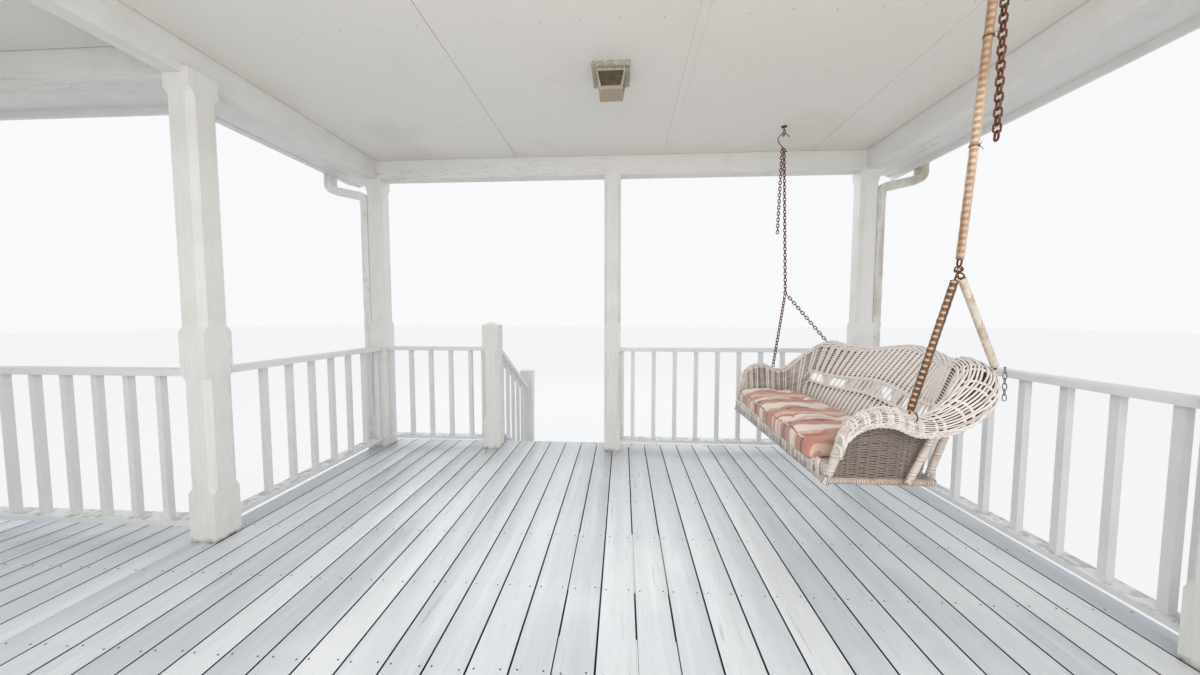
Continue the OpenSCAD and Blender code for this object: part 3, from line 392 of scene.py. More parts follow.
@dataclass(frozen=True)
class RawTimber:
    """Bare framing timber, greyed brown, with long grain."""

    name: str
    grain: Axis
    colour: Colour = srgb(0.62, 0.57, 0.50)
    dark: Colour = srgb(0.41, 0.36, 0.30)
    knot: Colour = srgb(0.25, 0.17, 0.10)

    def build(self) -> bpy.types.Material:
        """Makes the material."""
        sheet = Sheet(self.name)
        grain = sheet.noise(45.0, 5.0, self.grain.value, 0.65)
        rings = sheet.noise(9.0, 3.0, self.grain.value, 0.5, 6.0)
        colour = sheet.coats(self.colour, (rings.step(0.35, 0.7) * 0.6, self.dark),
                             (grain.step(0.45, 0.7) * 0.6, self.dark),
                             (sheet.specks(2.2, 0.05, self.grain.value) * 0.8, self.knot))
        return sheet.finish(colour, 0.8, sheet.bump(grain, 0.0015))


@dataclass(frozen=True)
class CastConcrete:
    """Grey concrete with pits, stains and a damp foot."""

    name: str = "concrete"
    colour: Colour = srgb(0.64, 0.63, 0.60)
    dark: Colour = srgb(0.42, 0.41, 0.38)
    pit: Colour = srgb(0.24, 0.23, 0.21)
    damp: Colour = srgb(0.33, 0.33, 0.27)

    def build(self) -> bpy.types.Material:
        """Makes the material."""
        sheet = Sheet(self.name)
        cloud, grit = sheet.noise(7.0, 5.0), sheet.noise(160.0, 3.0, offset=3.0)
        pits = sheet.specks(42.0, 0.18)
        damp = (sheet.axis(2) / 0.16 + cloud - 0.5).step(1.0, 0.1)
        colour = sheet.coats(self.colour, (cloud.step(0.35, 0.7) * 0.6, self.dark),
                             (grit.step(0.5, 0.7) * 0.35, self.dark), (pits * 0.55, self.pit), (damp * 0.5, self.damp))
        return sheet.finish(colour, 0.88, sheet.bump(grit * 0.4 + cloud - pits, 0.003))


@dataclass(frozen=True)
class ShingleGrit:
    """Mineral granules on asphalt shingles, each tab a little lighter or darker."""

    name: str = "shingles"
    dark: Colour = srgb(0.17, 0.17, 0.18)
    pale: Colour = srgb(0.42, 0.41, 0.40)
    spark: Colour = srgb(0.55, 0.53, 0.50)
    pit: Colour = srgb(0.09, 0.09, 0.09)
    lichen: Colour = srgb(0.30, 0.30, 0.24)

    def build(self) -> bpy.types.Material:
        """Makes the material."""
        sheet = Sheet(self.name)
        grit, cloud = sheet.noise(420.0, 2.0), sheet.noise(2.0, 4.0, offset=5.0)
        colour = sheet.coats(self.dark, (sheet.attribute("tone") * 0.55 + 0.1, self.pale),
                             (grit.step(0.46, 0.62) * 0.4, self.spark), (grit.step(0.42, 0.30) * 0.5, self.pit),
                             (cloud.step(0.55, 0.8) * 0.25, self.lichen))
        return sheet.finish(colour, 0.93, sheet.bump(grit, 0.0015))


@dataclass(frozen=True)
class WhiteMetal:
    """Baked white enamel on sheet metal, streaked by rain, and dirtier on the porch's right side."""

    name: str = "white_metal"
    colour: Colour = srgb(0.90, 0.90, 0.89)
    dirt: Colour = srgb(0.50, 0.45, 0.37)
    grime: Colour = srgb(0.66, 0.60, 0.50)

    def build(self) -> bpy.types.Material:
        """Makes the material."""
        sheet = Sheet(self.name)
        streak, cloud = sheet.noise(38.0, 4.0, Axis.ALONG_Z.value, 0.6), sheet.noise(6.0, 4.0, offset=4.0)
        right = sheet.axis(0).step(1.0, 2.0) * (cloud * 0.8 + streak * 0.4).step(0.30, 0.80)
        colour = sheet.coats(self.colour, (streak.step(0.5, 0.8) * 0.45, self.dirt),
                             (cloud.step(0.52, 0.75) * 0.4, self.dirt), (right * 0.65, self.grime))
        return sheet.finish(colour, streak * 0.2 + 0.32, sheet.bump(cloud, 0.001, 0.5))


@dataclass(frozen=True)
class AgedMetal:
    """Weathered metal whose plating has gone blotchy."""

    name: str
    bright: Colour
    dull: Colour
    scale: float
    metallic: float
    roughness: float = 0.55

    def build(self) -> bpy.types.Material:
        """Makes the material."""
        sheet = Sheet(self.name)
        blotch, fine = sheet.noise(self.scale, 4.0), sheet.noise(self.scale * 4.0, 3.0, offset=2.0)
        colour = sheet.coats(self.bright, (blotch.step(0.42, 0.60), self.dull),
                             (fine.step(0.55, 0.75) * 0.5, self.dull))
        return sheet.finish(colour, blotch * 0.3 + (self.roughness - 0.1),
                            sheet.bump(blotch + fine * 0.5, 0.0008), Metallic=self.metallic)


@dataclass(frozen=True)
class LampGlass:
    """Brown hammered lamp glass, dusty inside."""

    name: str = "amber_glass"
    colour: Colour = srgb(0.60, 0.52, 0.38)
    dust: Colour = srgb(0.74, 0.66, 0.53)
    clear: float = 0.8

    def build(self) -> bpy.types.Material:
        """Makes the material."""
        sheet = Sheet(self.name)
        cloud = sheet.noise(28.0, 3.0, offset=3.0)
        return sheet.finish(sheet.mix(cloud.step(0.5, 0.75) * 0.4, self.colour, self.dust), cloud * 0.15 + 0.08,
                            sheet.bump(sheet.noise(90.0, 2.0), 0.0012), Transmission_Weight=self.clear, IOR=1.45)


@dataclass(frozen=True)
class BulbGlass:
    """Amber bulb under a dark holder."""

    holder_level: float
    name: str = "bulb_glass"
    amber: Colour = srgb(0.86, 0.66, 0.16)
    holder: Colour = srgb(0.06, 0.05, 0.05)
    smear: Colour = srgb(0.40, 0.30, 0.12)

    def build(self) -> bpy.types.Material:
        """Makes the material."""
        sheet = Sheet(self.name)
        mask = sheet.axis(2).step(self.holder_level - 0.001, self.holder_level + 0.001)
        smear = sheet.noise(70.0, 3.0).step(0.5, 0.8) * 0.3
        return sheet.finish(sheet.coats(self.amber, (mask, self.holder), (smear, self.smear)), 0.3)


@dataclass(frozen=True)
class PaintedCane:
    """White paint on woven cane, worn to brown where it is handled, and browner on the arms' outer faces as painted
    shade under the roll, with a near-black sheet of painted shade between the strands.
    """

    name: str = "wicker"
    paint: Colour = srgb(0.92, 0.89, 0.87)
    cane: Colour = srgb(0.41, 0.33, 0.27)
    # Near-black of the painted shade sheet between the strands.
    dirt: Colour = srgb(0.17, 0.12, 0.09)

    def build(self) -> bpy.types.Material:
        """Makes the material."""
        sheet = Sheet(self.name)
        worn, fine = sheet.noise(14.0, 4.0), sheet.noise(260.0, 3.0, offset=3.0)
        patch = (worn * 0.45 + fine * 0.30 + sheet.attribute("tone") * 0.75).step(0.50, 0.95)
        # The shade mark paints the sheet between the strands near-black as painted shade; tone holds worn paint and, on
        # the arms' outer faces, painted shade.
        colour = sheet.coats(self.paint, (patch * 0.8, self.cane), (sheet.attribute("hollow") * 0.95, self.dirt))
        return sheet.finish(colour, fine * 0.3 + 0.4, sheet.bump(fine, 0.0008))


@dataclass(frozen=True)
class WrappedCane:
    """Cane posts bound at even steps, and level rails wrapped in strips, with brown cane in random patches and painted
    shade in the grooves beside each binding and between the strips.
    """

    foot: float
    name: str = "wrapped_cane"
    colour: Colour = srgb(0.82, 0.77, 0.73)
    ring: Colour = srgb(0.89, 0.86, 0.82)
    # Brown of the cane in random patches, and painted shade in the grooves beside each binding and between the strips.
    groove_shade_and_brown: Colour = srgb(0.46, 0.36, 0.28)
    pitch: float = 0.06
    wrap: float = 0.009

    def build(self) -> bpy.types.Material:
        """Makes the material."""
        sheet = Sheet(self.name)
        height = sheet.axis(2) - self.foot
        phase = (height / self.pitch).maths("FRACT")
        upright = height.step(0.008, 0.016)
        strip = ((sheet.axis(0) + sheet.axis(1)) * (TURN / self.wrap)).wave()
        cloud = sheet.noise(16.0, 4.0)
        fibre = sheet.noise(160.0, 3.0, Axis.ALONG_Z.value, offset=2.0)
        # The dark lines beside each binding and between the rail's strips are painted shade in the grooves.
        edge = (phase.near(0.40, 0.05) + phase.near(0.60, 0.05)) * upright
        colour = sheet.coats(self.colour, ((cloud * 0.7 + fibre * 0.3).step(0.46, 0.70) * 0.55, self.groove_shade_and_brown),
                             (phase.near(0.5, 0.10) * upright * 0.6, self.ring), (edge * 0.45, self.groove_shade_and_brown),
                             ((1.0 - upright) * strip.step(0.35, 0.1) * 0.8, self.groove_shade_and_brown))
        ridge = phase.near(0.5, 0.2) * upright + strip * (1.0 - upright)
        return sheet.finish(colour, 0.62, sheet.bump(ridge + fibre * 0.3, 0.002))


@dataclass(frozen=True)
class StripedCloth:
    """Faded woven stripes in terracotta, brown, cream and tan that follow the cushion's own length."""

    name: str = "cushion_cloth"
    repeat: float = 0.43
    thread: float = 5652.0
    rust: Colour = srgb(0.76, 0.52, 0.45)
    brown: Colour = srgb(0.50, 0.33, 0.29)
    cream: Colour = srgb(0.94, 0.88, 0.84)
    tan: Colour = srgb(0.86, 0.73, 0.66)
    faded: Colour = srgb(0.84, 0.75, 0.70)

    def build(self) -> bpy.types.Material:
        """Makes the material."""
        sheet = Sheet(self.name)
        rust, brown, cream, tan = self.rust, self.brown, self.cream, self.tan
        along = sheet.attribute("stripe")
        stops = [(0.0, rust), (0.15, brown), (0.19, rust), (0.31, tan), (0.35, cream), (0.45, tan), (0.48, rust),
                 (0.58, brown), (0.66, rust), (0.72, cream), (0.75, tan), (0.82, cream), (0.88, rust), (0.92, tan)]
        cross = sheet.noise(700.0, 2.0, offset=1.0)
        colour = sheet.coats(sheet.bands((along / self.repeat).maths("FRACT"), stops),
                             (sheet.noise(6.0, 4.0).step(0.45, 0.75) * 0.35, self.faded),
                             (cross.step(0.55, 0.75) * 0.25, brown))
        thread = (along * self.thread).wave()
        return sheet.finish(colour, 0.9, sheet.bump(thread * 0.5 + cross, 0.0006), Sheen_Weight=0.25)


@dataclass(frozen=True)
class ChainSleeve:
    """Aged clear sleeves over chain: tan with a ladder of darker links, brown with pale ovals painted as highlights on
    the links, or plain cream.
    """

    name: str = "chain_sleeve"
    link_pitch: float = 0.0215

    def build(self) -> bpy.types.Material:
        """Makes the material."""
        sheet = Sheet(self.name)
        links = (sheet.attribute("along") * (TURN / self.link_pitch)).wave() \
            * (sheet.attribute("around") * (2.0 * TURN)).wave()
        smear = sheet.noise(30.0, 4.0, Axis.ALONG_Z.value)
        spots = sheet.noise(110.0, 3.0, offset=2.0)
        tan = sheet.coats(srgb(0.83, 0.73, 0.62), (smear.step(0.38, 0.66), srgb(0.62, 0.48, 0.36)),
                          ((links + spots * 0.5).step(0.45, 0.85) * 0.55, srgb(0.44, 0.31, 0.22)))
        # The brown sleeve's pale ovals over the links are painted highlights.
        brown_aged_with_highlights = sheet.coats(srgb(0.45, 0.30, 0.20), (smear.step(0.35, 0.65), srgb(0.31, 0.20, 0.14)),
                           (links.step(0.50, 0.72) * 0.85, srgb(0.78, 0.66, 0.54)))
        plain = sheet.mix(smear.step(0.40, 0.70), srgb(0.86, 0.81, 0.75), srgb(0.70, 0.62, 0.55))
        colour = sheet.coats(tan, (sheet.attribute("brown"), brown_aged_with_highlights), (sheet.attribute("cream"), plain))
        return sheet.finish(colour, smear * 0.3 + 0.22, sheet.bump(smear + links * 0.5, 0.0009))


class Finishes:
    """All finishes of the porch, each made once."""

    def __init__(self, deck_top: float, shelf: float, holder_level: float, seat_foot: float) -> None:
        """Builds every finish.

        Args:
            deck_top: Height of the deck, where posts rot.
            shelf: Top of the bottom rails, where dirt lies.
            holder_level: Foot of the bulb's holder.
            seat_foot: Foot of the hanging seat's wall.
        """
        x, y, z = Axis.ALONG_X, Axis.ALONG_Y, Axis.ALONG_Z
        post, rail, beam = srgb(0.89, 0.885, 0.87), srgb(0.88, 0.88, 0.88), srgb(0.88, 0.875, 0.86)
        made = {
            "post": HousePaint("white_paint_posts", z, 0.9, 0.9, post, foot=deck_top, foot_height=0.05),
            "newel": HousePaint("white_paint_newels", z, 0.9, 0.9, post, foot=0.0, foot_height=0.07),
            "rail_x": HousePaint("white_paint_rails_x", x, 0.6, 0.4, rail, shelf=shelf),
            "rail_y": HousePaint("white_paint_rails_y", y, 0.6, 0.4, rail, shelf=shelf),
            "beam_x": HousePaint("white_paint_beams_x", x, 0.8, 0.6, beam),
            "beam_y": HousePaint("white_paint_beams_y", y, 0.8, 0.7, beam),
            "trim": HousePaint("white_paint_trim", y, 0.7, 0.5),
            "skirt": HousePaint("white_paint_skirt", x, 0.9, 0.6, foot=0.0, foot_height=0.12),
            "deck": DeckPaint(), "tread": DeckPaint("deck_paint_treads", x), "ceiling": CeilingPaint(),
            "timber_x": RawTimber("bare_timber_x", x), "timber_y": RawTimber("bare_timber_y", y),
            "concrete": CastConcrete(), "shingle": ShingleGrit(), "metal": WhiteMetal(),
            "bronze": AgedMetal("aged_bronze", srgb(0.78, 0.76, 0.69), srgb(0.48, 0.44, 0.40), 230.0, 0.05),
            "rust": AgedMetal("rusty_steel", srgb(0.50, 0.31, 0.21), srgb(0.27, 0.16, 0.11), 160.0, 0.05, 0.85),
            "zinc": AgedMetal("old_zinc", srgb(0.62, 0.62, 0.60), srgb(0.38, 0.34, 0.30), 200.0, 0.6, 0.5),
            "nail": AgedMetal("nail_heads", srgb(0.40, 0.38, 0.37), srgb(0.22, 0.17, 0.14), 300.0, 0.4, 0.7),
            "painted_nail": AgedMetal("painted_nails", srgb(0.60, 0.58, 0.55), srgb(0.42, 0.38, 0.34), 300.0, 0.0, 0.7),
            "glass": LampGlass(),
            "floor_glass": LampGlass("dusty_glass", srgb(0.66, 0.58, 0.47), srgb(0.72, 0.56, 0.45), 0.0),
            "bulb": BulbGlass(holder_level), "wicker": PaintedCane(), "post_cane": WrappedCane(seat_foot),
            "cloth": StripedCloth(), "sleeve": ChainSleeve(),
        }
        for name, finish in made.items():
            setattr(self, name, finish.build())


class Bench:
    """Modelling with Blender's operators, one piece at a time."""

    @staticmethod
    def pick(*pieces: bpy.types.Object) -> None:
        """Leaves these pieces alone selected in object mode, the first one active.

        Args:
            pieces: What to select.
        """
        if bpy.context.object is not None and bpy.context.object.mode != "OBJECT":
            bpy.ops.object.mode_set(mode="OBJECT")
        bpy.ops.object.select_all(action="DESELECT")
        for piece in pieces:
            piece.select_set(True)
        if pieces:
            bpy.context.view_layer.objects.active = pieces[0]

    @staticmethod
    @contextmanager
    def editing(select: str) -> Iterator[None]:
        """Edit mode on the active piece, everything selected or deselected first.

        Args:
            select: SELECT or DESELECT.

        Returns:
            A context, after which object mode is back.
        """
        bpy.ops.object.mode_set(mode="EDIT")
        bpy.ops.mesh.select_all(action=select)
        yield
        bpy.ops.object.mode_set(mode="OBJECT")

    @classmethod
    def box(cls, name: str, low: Sequence[float], high: Sequence[float], ease: float = 0.0,
            segments: int = 1) -> bpy.types.Object:
        """Adds a box between two corners and eases its edges.

        Args:
            name: The piece's name.
            low, high: Opposite corners.
            ease: Width of the eased edges.
            segments: Steps in each eased edge.

        Returns:
            The new object.
        """
        cls.pick()
        low, high = Vector(low), Vector(high)
        bpy.ops.mesh.primitive_cube_add(size=1.0, location=(low + high) / 2)
        made = bpy.context.object
        made.name = made.data.name = name
        made.scale = high - low
        bpy.ops.object.transform_apply(location=True, rotation=True, scale=True)
        if ease > 0.0:
            with cls.editing("SELECT"):
                bpy.ops.mesh.bevel(offset=ease, segments=segments, affect="EDGES")
        return made

    @classmethod
    def nail_head(cls, radius: float, height: float) -> bpy.types.Object:
        """Adds a low domed nail head at the origin, standing on its plane.

        Args:
            radius: Its radius.
            height: Height of its side, under the dome.

        Returns:
            The new object.
        """
        cls.pick()
        bpy.ops.mesh.primitive_cylinder_add(vertices=8, radius=radius, depth=height, location=(0, 0, height / 2))
        bpy.ops.object.transform_apply(location=True, rotation=True, scale=True)
        made = bpy.context.object
        with cls.editing("DESELECT"):
            pass
        for polygon in made.data.polygons:
            polygon.select = polygon.normal.z > 0.9
        bpy.ops.object.mode_set(mode="EDIT")
        bpy.ops.mesh.inset(thickness=radius * 0.4, depth=height * 0.4)
        bpy.ops.object.mode_set(mode="OBJECT")
        return made

    @classmethod
    def repeat(cls, pattern: bpy.types.Object, places: Sequence[Matrix], name: str, seed: int) -> bpy.types.Object:
        """Copies a pattern piece to many places as one joined mesh, and removes the pattern.

        Args:
            pattern: The piece to copy.
            places: Where each copy goes.
            name: Name of the joined piece.
            seed: Seed of the copies' tones.

        Returns:
            The joined object, whose "tone" attribute differs for each copy.
        """
        points = cls.points(pattern)
        points = np.c_[points, np.ones(len(points))]
        faces = [tuple(polygon.vertices) for polygon in pattern.data.polygons]
        parts = [((points @ np.array(place.transposed()))[:, :3], faces) for place in places]
        tones = np.repeat(np.random.default_rng(seed).random(len(places)), len(points))
        made = cls.mesh(name, parts, {"tone": [tones]}, pattern.data.polygons[0].use_smooth)
        bpy.data.objects.remove(pattern)
        return made

    @classmethod
    def join(cls, pieces: Sequence[bpy.types.Object], name: str) -> bpy.types.Object:
        """Joins pieces into one object, which stays selected.

        Args:
            pieces: What to join.
            name: The joined piece's name.

        Returns:
            The joined object.
        """
        cls.pick(*pieces)
        bpy.ops.object.join()
        made = bpy.context.object
        made.name = made.data.name = name
        return made

    @classmethod
    def cut(cls, piece: bpy.types.Object, point: Sequence[float], normal: Sequence[float]) -> None:
        """Cuts away what lies on the normal's side of a plane, and closes the cut.

        Args:
            piece: What to cut.
            point: A point of the plane.
            normal: The side that goes.
        """
        cls.pick(piece)
        with cls.editing("SELECT"):
            bpy.ops.mesh.bisect(plane_co=point, plane_no=normal, clear_outer=True, use_fill=True)

    @staticmethod
    def points(piece: bpy.types.Object) -> np.ndarray:
        """A piece's vertices as an array."""
        flat = np.empty(len(piece.data.vertices) * 3)
        piece.data.vertices.foreach_get("co", flat)
        return flat.reshape(-1, 3)

    @staticmethod
    def place(piece: bpy.types.Object, points: np.ndarray) -> None:
        """Moves a piece's vertices."""
        piece.data.vertices.foreach_set("co", points.ravel())
        piece.data.update()

    @staticmethod
    def store(mesh: bpy.types.Mesh, name: str, values: np.ndarray) -> None:
        """Stores a value on each vertex."""
        mesh.attributes.new(name, "FLOAT", "POINT").data.foreach_set("value", values.astype(float))

    @staticmethod
    def line(start: Sequence[float], end: Sequence[float], count: int) -> np.ndarray:
        """Points at even steps from start to end."""
        share = np.linspace(0.0, 1.0, count)[:, None]
        return np.array(start) * (1 - share) + np.array(end) * share

    @staticmethod
    def quads(first: int, second: int, count: int) -> list[tuple[int, ...]]:
        """Faces between two rings of as many vertices, which start at first and at second."""
        return [(first + j, first + (j + 1) % count, second + (j + 1) % count, second + j) for j in range(count)]

    @classmethod
    def tube(cls, path: np.ndarray, radius: Union[float, np.ndarray], sides: int, closed: bool = False) -> Part:
        """Sweeps a ring along a path.

        Args:
            path: Points of the path.
            radius: Radius, or one for each point.
            sides: Sides of the ring.
            closed: Whether the path closes on itself.

        Returns:
            Vertices and faces.
        """
        count = len(path)
        ahead = np.roll(path, -1, 0) - np.roll(path, 1, 0) if closed else np.gradient(path, axis=0)
        ahead /= np.linalg.norm(ahead, axis=1)[:, None]
        side = np.empty((count, 3))
        side[0] = np.cross(ahead[0], (0.0, 0.0, 1.0) if abs(ahead[0][2]) < 0.9 else (0.0, 1.0, 0.0))
        side[0] /= np.linalg.norm(side[0])
        for i in range(1, count):
            carried = side[i - 1] - ahead[i] * float(np.dot(side[i - 1], ahead[i]))
            side[i] = carried / np.linalg.norm(carried)
        other = np.cross(side, ahead)
        turn = (np.arange(sides) * 2 * math.pi / sides)[None, :, None]
        radii = np.broadcast_to(np.asarray(radius, dtype=float), (count,))[:, None, None]
        ring = side[:, None] * np.cos(turn) + other[:, None] * np.sin(turn)
        faces = []
        for i in range(count if closed else count - 1):
            faces += cls.quads(i * sides, (i + 1) % count * sides, sides)
        if not closed:
            faces += [tuple(range(sides))[::-1], tuple(range((count - 1) * sides, count * sides))]
        return (path[:, None] + ring * radii).reshape(-1, 3), faces

    @staticmethod
    def add(name: str, data: bpy.types.ID) -> bpy.types.Object:
        """Adds an object to the scene."""
        made = bpy.data.objects.new(name, data)
        bpy.context.scene.collection.objects.link(made)
        return made

    @classmethod
    def mesh(cls, name: str, parts: Iterable[Part], values: Optional[dict[str, Sequence[np.ndarray]]] = None,
             shade: bool = True) -> bpy.types.Object:
        """Makes one object of many vertex and face lists, its faces turned outwards.

        Args:
            name: The piece's name.
            parts: Vertices and faces of each part.
            values: Point attributes, as one array for each part.
            shade: Whether it is shaded smooth.

        Returns:
            The new object.
        """
        points, faces, base = [], [], 0
        for part_points, part_faces in parts:
            points.append(part_points)
            faces += [tuple(v + base for v in face) for face in part_faces]
            base += len(part_points)
        mesh = bpy.data.meshes.new(name)
        mesh.from_pydata(np.concatenate(points).tolist(), [], faces)
        for key, arrays in (values or {}).items():
            cls.store(mesh, key, np.concatenate(arrays))
        mesh.polygons.foreach_set("use_smooth", [shade] * len(mesh.polygons))
        work = bmesh.new()
        work.from_mesh(mesh)
        bmesh.ops.recalc_face_normals(work, faces=work.faces)
        work.to_mesh(mesh)
        work.free()
        return cls.add(name, mesh)

    @staticmethod
    def dress(piece: bpy.types.Object, material: bpy.types.Material, body: str, slot: str, *stands_for: str) -> None:
        """Gives a piece its material and its body.

        Args:
            piece: The finished piece.
            material: Its material.
            body: The body that it rides on.
            slot: The record's material slot; not used.
            stands_for: CAD nodes that it replaces.
        """
        piece.data.materials.clear()
        piece.data.materials.append(material)
        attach(piece, body)
        if stands_for:
            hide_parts(*stands_for)
        log.info("%s: %d faces on %s", piece.name, len(piece.data.polygons), body)


@dataclass(frozen=True)
class Plan:
    """The porch's lines, read from the frame."""

    middle_x: float
    bay: float
    wall_y: float
    front_y: float
    wing_y: float
    deck_low: Point
    deck_high: Point
    post: float
    ceiling: float

    @classmethod
    def read(cls) -> "Plan":
        """Reads the lines from the CAD nodes."""
        low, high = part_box("posts_front")
        deck_low, deck_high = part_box("deck")
        wing_low, wing_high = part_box("railing_wing_front")
        post = high[1] - low[1]
        return cls(middle_x=(low[0] + high[0]) / 2, bay=(high[0] - low[0] - post) / 2, wall_y=deck_low[1],
                   front_y=(low[1] + high[1]) / 2, wing_y=(wing_low[1] + wing_high[1]) / 2, post=post,
                   deck_low=tuple(deck_low), deck_high=tuple(deck_high), ceiling=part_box("ceilings")[0][2])


@dataclass
class Floor:
    """Deck boards with gaps and nails."""

    plan: Plan
    finishes: Finishes
    pitch: float = 0.146
    gap: float = 0.006
    ease: float = 0.0022
    nail_radius: float = 0.0034
    joist_pitch: float = 0.406
    first_joist: float = 0.463
    nail_inset: float = 0.022
    nail_height: float = 0.0014
    nail_sunk: float = 0.0006
    nail_jitter: float = 0.003
    wall_row: float = 0.03
    end_row: float = 0.045

    def board_lines(self) -> list[tuple[float, float, float]]:
        """Left edge, right edge and far end of every board."""
        plan = self.plan
        left, right = plan.deck_low[0], plan.deck_high[0]
        inner = plan.middle_x - plan.bay - plan.post / 2
        wing_end = plan.wing_y + plan.deck_high[1] - plan.front_y
        lines = []
        for low, high, end in ((inner, right, plan.deck_high[1]), (left, inner, wing_end)):
            count = round((high - low) / self.pitch)
            step = (high - low + self.gap) / count
            lines += [(low + i * step, low + (i + 1) * step - self.gap, end) for i in range(count)]
        return lines

    def boards(self) -> None:
        """Boards of each length, modelled once and copied."""
        plan = self.plan
        groups: dict[float, list[tuple[float, float, float]]] = {}
        for line in self.board_lines():
            groups.setdefault(line[2], []).append(line)
        pieces = []
        for seed, (end, lines) in enumerate(groups.items()):
            pattern = Bench.box("board", (0.0, plan.wall_y, plan.deck_low[2]),
                                (lines[0][1] - lines[0][0], end, plan.deck_high[2]), self.ease, 2)
            places = [Matrix.Translation((line[0], 0.0, 0.0)) for line in lines]
            pieces.append(Bench.repeat(pattern, places, "boards", 11 + seed))
        made = Bench.join(pieces, "deck_boards")
        bpy.ops.object.shade_smooth_by_angle(angle=math.radians(35.0))
        Bench.dress(made, self.finishes.deck, PORCH, "deck_paint", "deck")

    def nails(self) -> None:
        """Two nail heads for each board on each joist."""
        plan = self.plan
        level = plan.deck_high[2] - self.nail_sunk
        places = []
        shift = np.random.default_rng(5)
        for left, right, end in self.board_lines():
            row = plan.wall_y + self.first_joist
            rows = [plan.wall_y + self.wall_row]
            while row < end - 0.1:
                rows.append(row)
                row += self.joist_pitch
            rows.append(end - self.end_row)
            for y in rows:
                for x in (left + self.nail_inset, right - self.nail_inset):
                    jitter = shift.normal(0.0, self.nail_jitter, 2)
                    places.append(Matrix.Translation((x + jitter[0], y + jitter[1], level)))
        made = Bench.repeat(Bench.nail_head(self.nail_radius, self.nail_height), places, "deck_nails", 6)
        Bench.dress(made, self.finishes.nail, PORCH, "rusty_steel")

    def build(self) -> None:
        """Makes the floor."""
        self.boards()
        self.nails()


@dataclass
class Ceiling:
    """Ceiling sheets with fine gaps and strips over two joints, and the furring above them."""

    plan: Plan
    finishes: Finishes
    sheet: float = 0.012
    seams: tuple[float, ...] = (-0.82, 0.445, 1.64)
    wing_seam: float = 1.22
    seam_gap: float = 0.003
    furring: float = 0.06
    strip_width: float = 0.042
    strip_depth: float = 0.004
    edge_gap: float = 0.004
    ease: float = 0.0012
    nail_rows: tuple[float, ...] = (0.20, 0.62, 1.04, 1.46, 1.88, 2.30, 2.76, 3.15)
    nail_pitch: float = 0.19
    nail_jitter: float = 0.006
    edge_nail_inset: float = 0.020
    seam_nail_inset: float = 0.014
    edge_nail_pitch: float = 0.405
    furring_count: int = 6

    def rooms(self) -> list[tuple[float, float, float, list[float]]]:
        """Left, right, far end and seams of each ceiling."""
        plan = self.plan
        low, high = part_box("ceilings")
        inset = plan.middle_x + plan.bay - high[0]
        left = plan.middle_x - plan.bay
        return [(left + inset, high[0], high[1], [plan.middle_x + seam for seam in self.seams]),
                (low[0], left - 0.058, plan.wing_y - inset, [low[0] + self.wing_seam])]

    def nails(self) -> None:
        """Painted nail heads in rows across the sheets and along their edges."""
        places = []
        shift = np.random.default_rng(15)
        wall = self.plan.wall_y
        over = Matrix.Rotation(math.pi, 4, "X")
        for left, right, end, seams in self.rooms():
            rows = [wall + row for row in self.nail_rows if wall + row < end - 0.05]
            spots = [(x, y) for y in rows for x in np.arange(left + 0.06, right - 0.04, self.nail_pitch)]
            edges = [left + self.edge_nail_inset, right - self.edge_nail_inset]
            edges += [seam + side * self.seam_nail_inset for seam in seams for side in (-1, 1)]
            spots += [(x, y) for x in edges for y in np.arange(wall + 0.1, end - 0.05, self.edge_nail_pitch)]
            for x, y in spots:
                jitter = shift.normal(0.0, self.nail_jitter, 2)
                places.append(Matrix.Translation((x + jitter[0], y + jitter[1], self.plan.ceiling + 0.0004)) @ over)
        made = Bench.repeat(Bench.nail_head(0.0026, 0.0010), places, "ceiling_nails", 16)
        Bench.dress(made, self.finishes.painted_nail, PORCH, "rusty_steel")

    def build(self) -> None:
        """Makes sheets, strips, furring and nails."""
        wall, level, finishes = self.plan.wall_y, self.plan.ceiling, self.finishes
        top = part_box("ceilings")[1][2]
        half = self.seam_gap / 2
        sheets, strips, furring = [], [], []
        for left, right, end, seams in self.rooms():
            edges = [left + self.edge_gap - half, *seams, right - self.edge_gap + half]
            for a, b in zip(edges, edges[1:]):
                sheets.append(Bench.box("sheet", (a + half, wall, level),
                                        (b - half, end - self.edge_gap, level + self.sheet), self.ease))
            for i in range(self.furring_count):
                x = left + i * (right - left - self.furring) / (self.furring_count - 1)
                furring.append(Bench.box("strip", (x, wall, level + self.sheet), (x + self.furring, end, top)))
        for seam, width in zip(self.seams[1:], (self.strip_width, self.strip_width * 0.5)):
            x = self.plan.middle_x + seam
            strips.append(Bench.box("seam_strip", (x - width / 2, wall, level - self.strip_depth),
                                    (x + width / 2, self.rooms()[0][2], level - 0.0002), self.ease))
        self.nails()
        Bench.dress(Bench.join(sheets, "ceiling_sheets"), finishes.ceiling, PORCH, "ceiling_paint", "ceilings")
        Bench.dress(Bench.join(strips, "ceiling_strips"), finishes.ceiling, PORCH, "ceiling_paint")
        Bench.dress(Bench.join(furring, "ceiling_furring"), finishes.timber_y, PORCH, "bare_timber")


